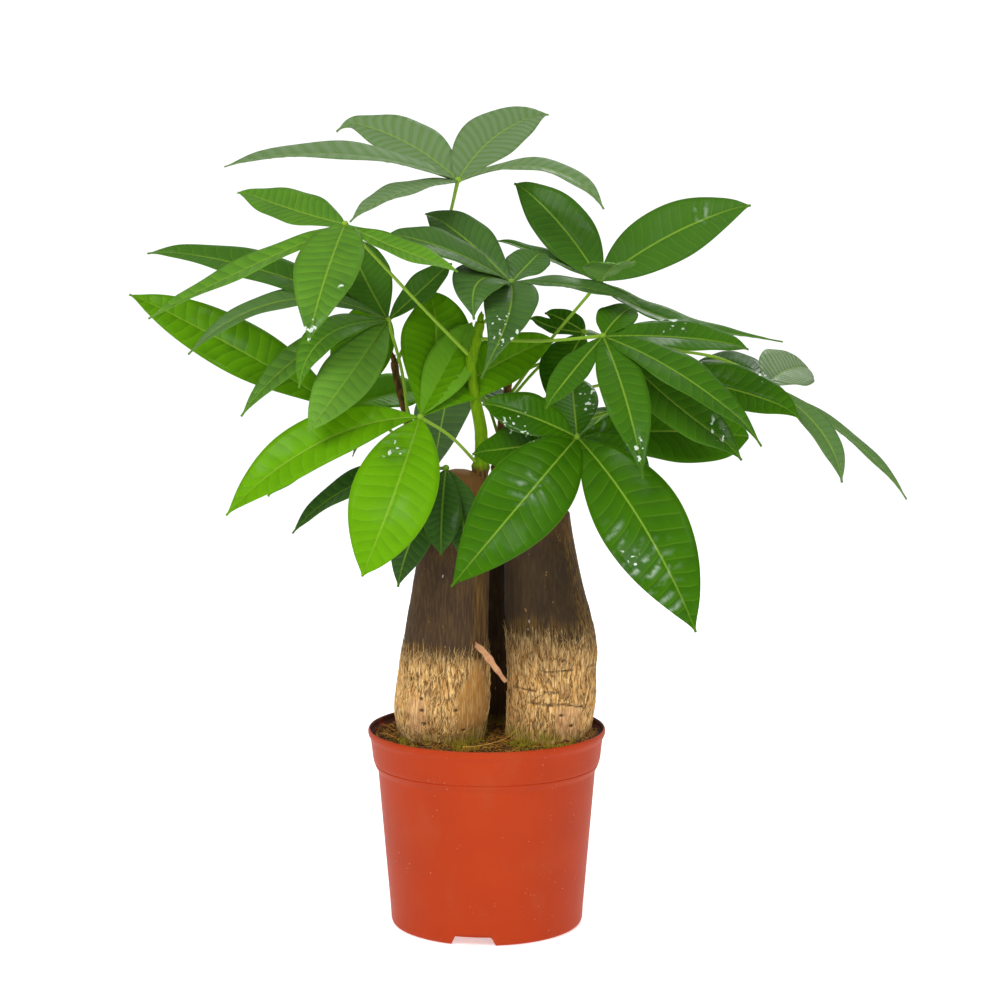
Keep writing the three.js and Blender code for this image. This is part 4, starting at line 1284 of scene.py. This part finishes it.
class MoneyTreeStumps(bpy.types.Operator):
    """Makes the three cut stumps, the strands on their cork and the peeled sliver of bark"""
    bl_idname = "money_tree.stumps"
    bl_label = "Stumps"

    def execute(self, context):
        colours = context.scene.money_tree_wood
        material = bark_material()
        stains = ("damp", colours.moss_stain), ("dim", colours.olive_bark)
        straw = strand_material("bark_strands", colours.cork, colours.cork_pale, stains)
        for name, stump in STUMPS.items():
            marks = STUMP_MARKS[name]
            make_piece("fine_" + name, [stump_skin(name, stump)], material, [name])
            make_piece("strands_" + name, fibre_skins(stump, marks), straw)
        make_piece("fine_bark_flap", [flap_skin()], flap_material(), ["bark_flap"])
        return {"FINISHED"}


SHOOT_STATIONS = 140
SHOOT_SIDES = 20
NODE_SWELLING = 0.22
NODE_REACH = 0.022
SHOOT_GRAIN = 0.04
GREEN_RISE = (0.04, 0.2)
# Buds at a shoot's tip: how far each leans to the right as a share of its way, and its length in mm
BUDS = ((0.0, 7.0), (0.35, 5.0), (-0.4, 4.0))
BUD_GIRTH = 0.75
BUD_ARC = (0.35, 0.99)
BUD_GREEN = 0.8
BUD_STEPS = 10
BUD_SIDES = 8


def shoot_skins(name, shoot):
    """A shoot: a tube that flares at its foot and swells where each leaf's stalk leaves it, and its buds."""
    path = smooth_path(sighted(shoot["path"]), SHOOT_STATIONS)
    t = np.linspace(0, 1, len(path))
    foot, tip = shoot["radii"]
    radii = foot * (1 + SHOOT_FLARE * np.exp(-t / SHOOT_FLARE_SHARE)) * (1 - t) + tip * t
    for leaf in LEAVES.values():
        if leaf["shoot"] == name:
            radii = radii * (1 + NODE_SWELLING * np.exp(-(((t - leaf["from"]) / NODE_REACH) ** 2)))
    turn = np.linspace(0, 1, SHOOT_SIDES)
    grain = SHOOT_GRAIN * lattice_noise(turn[None, :] * 6, t[:, None] * 30, 5, 6)
    green = rise(t, *GREEN_RISE)[:, None] * (shoot["slot"] == "green_shoot")
    skins = [tube(path, radii * MM, SHOOT_SIDES, {"green": green}, radii[:, None] * MM * grain)]
    ahead = unit(path[-1] - path[-8])
    share = np.linspace(0, 1, BUD_STEPS)[:, None]
    girth = tip * BUD_GIRTH * np.sin(math.pi * np.linspace(*BUD_ARC, BUD_STEPS)) * MM
    for lean, length in BUDS:
        way = ahead * share + np.array([lean, 0.2 * lean, 0]) * share ** 2
        bud = path[-1] + way * length * MM
        skins.append(tube(bud, girth, BUD_SIDES, {"green": green[-1] * BUD_GREEN}))
    return skins


def shoot_material():
    """Young stem: green where it is fresh, brown and matt where it has turned woody, with fine streaks."""
    colours = bpy.context.scene.money_tree_wood
    recipe = Recipe("shoot")
    green = recipe.attribute("green")
    streak = recipe.noise(700, 3, (1, 1, 6))
    fresh = recipe.blend(streak.step(0.3, 0.7), colours.green_stem, colours.green_stem_pale)
    woody = recipe.blend(streak.step(0.35, 0.7), colours.woody_stem, colours.neck)
    colour = recipe.blend(green.step(0.2, 0.8), woody, fresh)
    return recipe.finish(
        Base_Color=colour, Roughness=0.75 - green * 0.3, IOR=LEAF_IOR, Normal=recipe.bump(streak, 0.0002))


class MoneyTreeShoots(bpy.types.Operator):
    """Makes the leafy shoots that grow out of the stumps"""
    bl_idname = "money_tree.shoots"
    bl_label = "Shoots"

    def execute(self, context):
        material = shoot_material()
        for name, shoot in SHOOTS.items():
            make_piece("fine_" + name, shoot_skins(name, shoot), material, [name])
        return {"FINISHED"}


# Pot and soil

POT_AROUND = 320
# Sizes in mm: the innermost ring, the rounding of the corners, the crease under the band, the lip, the foot
# ring's margin, how far in the inside begins, and the heights between which the drains are cut
MIDDLE_RADIUS = 1
CORNER_ROUNDING = 1.1
CORNER_SHARE = 0.45
CORNER_STEPS = 5
BAND_START = 5
CREASE_DEPTH = 0.75
CREASE_HEIGHT = 1.0
LIP_RISE = 0.35
LIP_DROP = 1
RING_MARGIN = 0.5
INSIDE_DEPTH = 0.6 * POT_WALL
DRAIN_SIDES = 24
DRAIN_CUT = (1, 15)
PLASTIC_IOR = 1.2


def rounded(outline, rounding):
    """An outline whose corners are parabolas that start a rounding away, or under half a side where it is
    short."""
    points = np.array(outline, float)
    kept = [points[0]]
    for before, corner, after in zip(points[:-2], points[1:-1], points[2:]):
        into, out = before - corner, after - corner
        first = corner + into * min(CORNER_SHARE, rounding / np.linalg.norm(into))
        last = corner + out * min(CORNER_SHARE, rounding / np.linalg.norm(out))
        s = np.linspace(0, 1, CORNER_STEPS)[:, None]
        kept.extend(first * (1 - s) ** 2 + corner * 2 * s * (1 - s) + last * s ** 2)
    kept.append(points[-1])
    return np.array(kept)


def pot_radius(height):
    """The radius of the pot's outside at a height in mm."""
    radii, heights = np.array(POT_OUTLINE, float).T
    return np.interp(height, heights, radii)


def space_in_pot(top, gap):
    """The outline of the space in the pot, from its floor up to a height, clear of floor and wall by a
    gap."""
    floor = NOTCH_HEIGHT + FLOOR_THICKNESS + gap
    heights = [floor, *(z for _, z in POT_OUTLINE if floor < z < top), top]
    return [(pot_radius(z) - POT_WALL - gap, z) for z in heights]


def pot_skin():
    """The pot: its rounded outline, outside and inside, carried round the axis. Below the notch height the
    foot ring's points are lifted to the notch's edge, which is a trapezium of the distance round from its
    middle."""
    pot_height = POT_HIGH[2] / MM
    foot, rim = POT_OUTLINE[0][0], POT_OUTLINE[-1][0]
    ring = foot - FOOT_RING_WIDTH
    body, band = POT_OUTLINE[:BAND_START], POT_OUTLINE[BAND_START:]
    low, deepest = band[0][1] - CREASE_HEIGHT, band[0][1] - CREASE_HEIGHT / 2
    crease = [(pot_radius(low), low), (pot_radius(deepest) - CREASE_DEPTH, deepest)]
    underside = [(MIDDLE_RADIUS, NOTCH_HEIGHT), (ring, NOTCH_HEIGHT), (ring, 0)]
    lip = [(rim - POT_WALL / 2, pot_height + LIP_RISE), (rim - POT_WALL, pot_height - LIP_DROP)]
    lining = [*space_in_pot(POT_OUTLINE[-2][1], 0)[::-1], (MIDDLE_RADIUS, NOTCH_HEIGHT + FLOOR_THICKNESS)]
    outline = rounded([*underside, *body, *crease, *band, *lip, *lining], CORNER_ROUNDING)
    radius, level = outline[:, 0:1], outline[:, 1:2]
    angle = np.linspace(0, 2 * math.pi, POT_AROUND, endpoint=False)[None, :]
    turn, sector = math.radians(270 + NOTCH_TURN), 2 * math.pi / NOTCH_COUNT
    away = (angle - turn + sector / 2) % sector - sector / 2
    slope = (NOTCH_FOOT_WIDTH / 2 - np.abs(away) * foot) / ((NOTCH_FOOT_WIDTH - NOTCH_TOP_WIDTH) / 2)
    notch = NOTCH_HEIGHT * np.clip(slope, 0, 1) * (radius > ring - RING_MARGIN)
    height = np.maximum(np.minimum(level, pot_height), notch)
    rings = np.stack([radius * np.cos(angle), radius * np.sin(angle), height], axis=-1)
    inside = (radius < pot_radius(level) - INSIDE_DEPTH) & (level > NOTCH_HEIGHT + FLOOR_THICKNESS / 2)
    return skin(rings * MM + POT_AXIS, {"inside": inside})


def drain_pot(pot):
    """Cuts the drain holes through the pot's floor."""
    for number in range(DRAIN_COUNT):
        turn = math.pi / 2 + 2 * math.pi * number / DRAIN_COUNT
        middle = POT_AXIS + DRAIN_CIRCLE * MM * np.array([math.cos(turn), math.sin(turn), 0])
        path = middle + np.outer(DRAIN_CUT, [0, 0, MM])
        drain = tube(path, [DRAIN_RADIUS * MM] * 2, DRAIN_SIDES, {"inside": 0})
        cutter = make_piece(f"drain_{number}", [drain], pot.data.materials[0])
        hole = pot.modifiers.new("drain", "BOOLEAN")
        hole.object = cutter
        hole.operation = "DIFFERENCE"
        bpy.context.view_layer.objects.active = pot
        bpy.ops.object.modifier_apply(modifier=hole.name)
        bpy.data.objects.remove(cutter)


def pot_material():
    """Terracotta-coloured plastic: faint mottling, scuffs that run down, pale specks, satin gloss, and
    painted shade in patches on the inside."""
    colours = bpy.context.scene.money_tree_pot
    recipe = Recipe("pot_plastic")
    mottle = recipe.noise(26, 4)
    scuff = recipe.noise(55, 5, (1, 1, 1.6))
    speck = recipe.noise(620, 2)
    smudge = (recipe.noise(14, 3) * 0.8 + recipe.noise(90, 3) * 0.2).step(0.58, 0.68)
    # Painted shade in patches on the pot's inside wall
    painted_inside_shade = recipe.attribute("inside") * recipe.noise(90, 4).step(0.2, 0.5)
    colour = recipe.paint(
        colours.plastic,
        (mottle.step(0.3, 0.75) * 0.6, colours.plastic_deep),
        (scuff.step(0.5, 0.8) * 0.4, colours.scuff),
        (smudge * 0.5, colours.plastic_deep),
        (speck.step(0.71, 0.76) * mottle.step(0.46, 0.62) * 0.8, colours.speck),
        (painted_inside_shade * 0.9, colours.painted_inside_shade),
    )
    return recipe.finish(
        Base_Color=colour,
        Roughness=scuff * 0.16 + speck.step(0.6, 0.8) * 0.2 + colours.roughness,
        Normal=recipe.bump(recipe.noise(1500, 2) * 0.5 + scuff * 0.5, 0.00006),
        IOR=PLASTIC_IOR,
    )


class MoneyTreePot(bpy.types.Operator):
    """Makes the nursery pot with its rim band, foot notches and drain holes"""
    bl_idname = "money_tree.pot"
    bl_label = "Pot"

    def execute(self, context):
        pot = make_piece("fine_pot", [pot_skin()], pot_material(), ["pot"])
        drain_pot(pot)
        return {"FINISHED"}


SOIL_AROUND = 180
SOIL_RINGS = 62
SOIL_MIDDLE = 0.5
SOIL_EDGE = 0.4
SOIL_GAP = 0.3
SOIL_RISE = 0.6
SOIL_SEED = 404
# Lumps of the soil: the share of their height, their size in mm and the seed of each noise
SOIL_LUMPS = ((0.9, 17, 71), (0.7, 6, 72), (0.5, 2.3, 73))
LUMP_SHIFT = 9
# Heaps of soil against the wall: east and north of the axis, reach and height in mm
SOIL_HEAPS = [(63, -14, 9, 5.5), (-66, -12, 7, 3)]
BANK_HEIGHT = 1.5
BANK_REACH = 7
# Where a stump comes out of the soil: the number of its ring
SOIL_RING = 2
# What lies on the soil: how far from the axis it reaches, how many pieces there are, and their sizes in mm
LITTER_REACH = 69.5
CRUMB_COUNT = 620
CRUMB_SIZES = (0.4, 1.3)
CRUMB_SHAPE = (0.5, 1.0, 0.95, 0.45)
CRUMB_SIDES = 6
CRUMB_DENT = 0.25
CRUMB_LIFT = 0.3
CRUMB_STRETCH = (0.8, 1.6)
LARGE_CRUMBS = 0.08
COIR_COUNT = 1500
COIR_LENGTHS = (4, 13)
COIR_RADII = (0.09, 0.22)
COIR_LIFTS = (0.3, 1.6)
COIR_BEND = 2.0
COIR_TILT = 1.8
COIR_POINTS = 7
COIR_REACH = 70
MOSS_COUNT = 1300
MOSS_LENGTHS = (1.4, 3.6)
MOSS_RADII = (0.26, 0.22, 0.05)
MOSS_LEAN = 0.7
MOSS_REACH = 66
THREAD_SIDES = 3
# Where moss grows: how far from the stumps, how large its patches, how far to either side, where it ends at
# the back, and the bare gap between the stumps, in mm
MOSS_SPREAD = 13
MOSS_PATCH = 8
MOSS_SHIFT = 20
MOSS_SEED = 77
MOSS_WIDTH = 60
MOSS_BACK = (-8, 20)
GAP_MIDDLE = 6
GAP_WIDTH = 10
GAP_FRONT = (-52, -40)
ROOT_RADIUS = 0.28
ROOT_STEPS = 30
ROOT_SIDES = 6
ROOT_PATH = [
    (462, 747, -44), (478, 746, -47), (496, 742, -46), (508, 737, -40), (516, 729, -34), (519, 722, -31),
]


def soil_height(x, y):
    """The soil's surface in metres at places in mm from the pot's axis: three sizes of noise on its level,
    a low bank against each stump, and heaps against the wall."""
    lumps = sum(
        share * lattice_noise(x / size + LUMP_SHIFT, y / size + LUMP_SHIFT, seed)
        for share, size, seed in SOIL_LUMPS)
    bank = BANK_HEIGHT * near_stumps(x, y, BANK_REACH) + sum(
        height * np.exp(-(((x - east) ** 2 + (y - north) ** 2) / reach ** 2))
        for east, north, reach, height in SOIL_HEAPS)
    return (SOIL_LEVEL + SOIL_RISE + bank) * MM + bpy.context.scene.money_tree_soil.relief * lumps


def near_stumps(x, y, reach):
    """1 against a stump, falling off with the distance from it: exp(-(distance / reach) squared)."""
    near = 0
    for stump in STUMPS.values():
        _, across, radius = stump["rings"][SOIL_RING]
        away = np.maximum(np.hypot(x - across, y - stump["depth"]) - radius, 0)
        near = np.maximum(near, np.exp(-((away / reach) ** 2)))
    return near


def soil_skin():
    """The plug of soil: a bumpy top on rings from the middle out, then down the inside of the pot to its
    floor."""
    side = np.array(space_in_pot(SOIL_LEVEL, SOIL_GAP))[::-1]
    reach = np.linspace(SOIL_MIDDLE, side[0, 0] - SOIL_EDGE, SOIL_RINGS)
    radius = np.concatenate([reach, side[:, 0], [MIDDLE_RADIUS]])[:, None]
    angle = np.linspace(0, 2 * math.pi, SOIL_AROUND, endpoint=False)[None, :]
    x, y = radius * np.cos(angle), radius * np.sin(angle)
    below = np.concatenate([side[:, 1], side[-1:, 1]])[:, None] * MM
    top = soil_height(x[:SOIL_RINGS], y[:SOIL_RINGS])
    height = np.vstack([top, np.broadcast_to(below, (len(below), SOIL_AROUND))])
    rings = np.stack([x * MM, y * MM, height], axis=-1) + POT_AXIS
    return skin(rings, {"moss": moss_share(x, y)})


def moss_share(x, y):
    """How mossy a place is: near the front of the stumps, in patches, and less in the gap between them."""
    mottled = rise(
        lattice_noise(x / MOSS_PATCH + MOSS_SHIFT, y / MOSS_PATCH + MOSS_SHIFT, MOSS_SEED), -0.5, 0.35)
    between = np.exp(-(((x - GAP_MIDDLE) / GAP_WIDTH) ** 2)) * rise(y, *GAP_FRONT)
    front, middle = 1 - rise(y, *MOSS_BACK), rise(MOSS_WIDTH - np.abs(x), 2, 10)
    return near_stumps(x, y, MOSS_SPREAD) * mottled * front * (1 - between) * middle


def scatter(rng, reach):
    """A random place in mm from the pot's axis, within reach of it, that is clear of the stumps."""
    while True:
        x, y = rng.uniform(-reach, reach, 2)
        if math.hypot(x, y) < reach and near_stumps(x, y, 1) < 0.9:
            return x, y


def crumb_skin(rng):
    """A lump of peat: a short fat tube whose points are each pushed in or out at random."""
    x, y = scatter(rng, LITTER_REACH)
    size = rng.uniform(*CRUMB_SIZES) * MM * (1.5 if rng.random() < LARGE_CRUMBS else 1)
    middle = np.array([x * MM, y * MM, soil_height(x, y) + CRUMB_LIFT * size]) + POT_AXIS
    way = unit(rng.normal(0, 1, 3) * np.array([1, 1, 0.5]))
    path = middle + way * np.linspace(-1, 1, len(CRUMB_SHAPE))[:, None] * size * rng.uniform(*CRUMB_STRETCH)
    tone = rng.uniform(0, 0.7)
    dents = rng.uniform(-CRUMB_DENT, CRUMB_DENT, (len(CRUMB_SHAPE), CRUMB_SIDES)) * size
    return tube(path, size * np.array(CRUMB_SHAPE), CRUMB_SIDES, {"tone": tone}, dents)


def coir_skin(rng):
    """A coir fibre: a thin tube along an arc that lies on the soil, with both ends a little up or down."""
    x, y = scatter(rng, LITTER_REACH)
    heading, bend = rng.uniform(0, 2 * math.pi), rng.normal(0, COIR_BEND)
    length = rng.uniform(*COIR_LENGTHS)
    share = np.linspace(-0.5, 0.5, COIR_POINTS)
    angle = heading + bend * share
    x = x + np.cumsum(np.cos(angle)) * length / COIR_POINTS
    y = y + np.cumsum(np.sin(angle)) * length / COIR_POINTS
    inward = np.minimum(1, COIR_REACH / np.hypot(x, y))
    x, y = x * inward, y * inward
    lift = (rng.uniform(*COIR_LIFTS) + rng.normal(0, COIR_TILT) * np.abs(share)) * MM
    path = np.stack([x * MM, y * MM, soil_height(x, y) + lift], axis=1) + POT_AXIS
    radii = rng.uniform(*COIR_RADII) * MM * (1 - 1.2 * np.abs(share))
    return tube(path, radii, THREAD_SIDES, {"tone": rng.uniform(0, 1) ** 1.5})


def moss_skin(rng):
    """A moss leaf: a three-sided spike that leans at random, on the soil or the stump's foot."""
    while True:
        x, y = scatter(rng, MOSS_REACH)
        if moss_share(x, y) > rng.uniform(0.1, 0.9):
            break
    foot = np.array([x * MM, y * MM, soil_height(x, y)]) + POT_AXIS
    way = unit(np.array([rng.normal(0, MOSS_LEAN), rng.normal(0, MOSS_LEAN), 1.0]))
    share = np.linspace(0, 1, len(MOSS_RADII))[:, None]
    path = foot + way * share * rng.uniform(*MOSS_LENGTHS) * MM
    return tube(path, np.array(MOSS_RADII) * MM, THREAD_SIDES, {"tone": rng.uniform(0, 1)})


def root_skin():
    """A fine pale root that lies on the soil, as a tube that thins out towards its end."""
    radii = ROOT_RADIUS * MM * np.linspace(1, 0.5, ROOT_STEPS)
    return tube(smooth_path(sighted(ROOT_PATH), ROOT_STEPS), radii, ROOT_SIDES, {"tone": 1.0})


def soil_material():
    """Peat: dark, mottled and rough, brown where it has dried and green with moss."""
    colours = bpy.context.scene.money_tree_soil
    recipe = Recipe("peat")
    mottle, grain = recipe.noise(130, 5), recipe.noise(900, 3)
    moss = (recipe.attribute("moss") + (grain - 0.5) * 0.8).step(0.3, 0.8)
    colour = recipe.paint(
        colours.peat,
        (mottle.step(0.35, 0.7), colours.peat_dry),
        (grain.step(0.58, 0.72) * 0.3, colours.coir),
        (moss * 0.8, colours.moss),
    )
    return recipe.finish(Base_Color=colour, Roughness=0.95, Normal=recipe.bump(grain + mottle, 0.0009))


class MoneyTreeSoil(bpy.types.Operator):
    """Makes the soil, and the crumbs, coir, moss and root on it"""
    bl_idname = "money_tree.soil"
    bl_label = "Soil"

    def execute(self, context):
        colours = context.scene.money_tree_soil
        rng = np.random.default_rng(SOIL_SEED)
        make_piece("fine_soil", [soil_skin()], soil_material(), ["soil"])
        litter = (
            ("soil_crumbs", crumb_skin, CRUMB_COUNT, "peat_crumbs", colours.peat, colours.peat_dry),
            ("soil_coir", coir_skin, COIR_COUNT, "coir", colours.coir, colours.coir_pale),
            ("soil_moss", moss_skin, MOSS_COUNT, "moss", colours.moss, colours.moss_pale),
        )
        for name, make_skin, count, look, low, high in litter:
            skins = [make_skin(rng) for _ in range(count)]
            make_piece(name, skins, strand_material(look, low, high))
        thread = strand_material("pale_root", colours.coir, colours.coir_pale)
        make_piece("soil_root", [root_skin()], thread)
        return {"FINISHED"}


# Stage

FLOOR_RADIUS = 2.5
FLOOR_SIDES = 96
FLOOR_DROP = 0.0004
# Where the studio's light turns from its front to its back, and how bright the back is
STUDIO_TURN = (0.45, 0.95)
STUDIO_BACK = 1.1
# Lamps: name, place and size in metres, and share of the power
LAMPS = (
    ("key", (-0.75, -1.6, 1.9), 1.2, 1.0),
    ("fill", (0.9, -1.7, 1.0), 1.2, 0.3),
    ("back", (0.5, 1.4, 1.7), 1.0, 0.5),
)
LAMP_AIM = (0, 0, 0.28)
SENSOR_WIDTH = 36
CLIP_RANGE = (0.05, 50)


class MoneyTreeStage(bpy.types.Operator):
    """Makes the floor, the soft lights and the camera"""
    bl_idname = "money_tree.stage"
    bl_label = "Stage"

    def execute(self, context):
        settings = context.scene.money_tree_stage
        self.make_floor(settings)
        self.make_studio(settings)
        self.make_lamps(settings)
        self.make_camera(context)
        return {"FINISHED"}

    def make_floor(self, settings):
        """A wide flat disc just under the pot's foot."""
        recipe = Recipe("pale_floor")
        glow = {"Emission_Color": (1, 1, 1, 1), "Emission_Strength": settings.glow}
        material = recipe.finish(Base_Color=settings.floor, Roughness=1.0, Specular_IOR_Level=0.0, **glow)
        angle = np.linspace(0, 2 * math.pi, FLOOR_SIDES, endpoint=False)
        east, north = FLOOR_RADIUS * np.cos(angle), FLOOR_RADIUS * np.sin(angle)
        rim = np.stack([east, north, np.full(FLOOR_SIDES, -FLOOR_DROP)], axis=1)
        mesh = bpy.data.meshes.new("floor")
        mesh.from_pydata(rim.tolist(), [], [list(range(FLOOR_SIDES))])
        mesh.materials.append(material)
        floor = placed("floor", mesh)

    def make_studio(self, settings):
        """A room that is white behind the plant and dimmer in front of it."""
        world = bpy.data.worlds.new("white_studio")
        world.use_nodes = True
        nodes, links = world.node_tree.nodes, world.node_tree.links
        way = nodes.new("ShaderNodeTexCoord")
        parts = nodes.new("ShaderNodeSeparateXYZ")
        share = nodes.new("ShaderNodeMapRange")
        links.new(way.outputs["Generated"], parts.inputs[0])
        links.new(parts.outputs["Y"], share.inputs["Value"])
        share.inputs["From Min"].default_value, share.inputs["From Max"].default_value = STUDIO_TURN
        share.inputs["To Min"].default_value = settings.front
        share.inputs["To Max"].default_value = STUDIO_BACK
        links.new(share.outputs[0], nodes["Background"].inputs["Strength"])
        nodes["Background"].inputs["Color"].default_value = (1, 1, 1, 1)
        bpy.context.scene.world = world

    def make_lamps(self, settings):
        """A strong lamp high on the left, a weaker one on the right, and one behind."""
        for name, place, size, share in LAMPS:
            lamp = bpy.data.lights.new(name, "AREA")
            lamp.size = size
            lamp.energy = settings.light * share
            holder = placed(name, lamp)
            holder.location = place
            aim = Vector(LAMP_AIM) - Vector(place)
            holder.rotation_euler = aim.to_track_quat("-Z", "Y").to_euler()

    def make_camera(self, context):
        """The eye of the picture, as a camera."""
        camera = bpy.data.cameras.new("camera")
        camera.sensor_width = SENSOR_WIDTH
        camera.lens = EYE_FOCUS / PICTURE_SIZE * SENSOR_WIDTH
        camera.clip_start, camera.clip_end = CLIP_RANGE
        holder = placed("camera", camera)
        holder.location = EYE
        holder.rotation_euler = (math.pi / 2 - EYE_TILT, 0, 0)
        context.scene.camera = holder
        context.scene.view_settings.view_transform = "Standard"


SETTINGS = {
    "money_tree_leaf": LeafSettings,
    "money_tree_wood": WoodSettings,
    "money_tree_soil": SoilSettings,
    "money_tree_pot": PotSettings,
    "money_tree_stage": StageSettings,
}
OPERATORS = (
    MoneyTreePot, MoneyTreeSoil, MoneyTreeStumps, MoneyTreeShoots, MoneyTreeLeaves, MoneyTreeStage)


class MoneyTreePanel(bpy.types.Panel):
    """Lists the steps that build the plant"""
    bl_idname = "VIEW3D_PT_money_tree"
    bl_label = "Money Tree"
    bl_space_type = "VIEW_3D"
    bl_region_type = "UI"
    bl_category = "Money Tree"

    def draw(self, context):
        for operator in OPERATORS:
            self.layout.operator(operator.bl_idname)
        for name in SETTINGS:
            group = getattr(context.scene, name)
            for key in group.bl_rna.properties.keys():
                if key not in ("rna_type", "name"):
                    self.layout.prop(group, key)


def register():
    for group in SETTINGS.values():
        bpy.utils.register_class(group)
    for name, group in SETTINGS.items():
        setattr(bpy.types.Scene, name, bpy.props.PointerProperty(type=group))
    for operator in (*OPERATORS, MoneyTreePanel):
        bpy.utils.register_class(operator)


def unregister():
    for operator in (MoneyTreePanel, *OPERATORS):
        bpy.utils.unregister_class(operator)
    for name, group in SETTINGS.items():
        delattr(bpy.types.Scene, name)
        bpy.utils.unregister_class(group)


def main():
    """Registers the add-on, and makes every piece."""
    register()
    for operator in OPERATORS:
        group, call = operator.bl_idname.split(".")
        getattr(getattr(bpy.ops, group), call)()


if __name__ == "__main__":
    main()
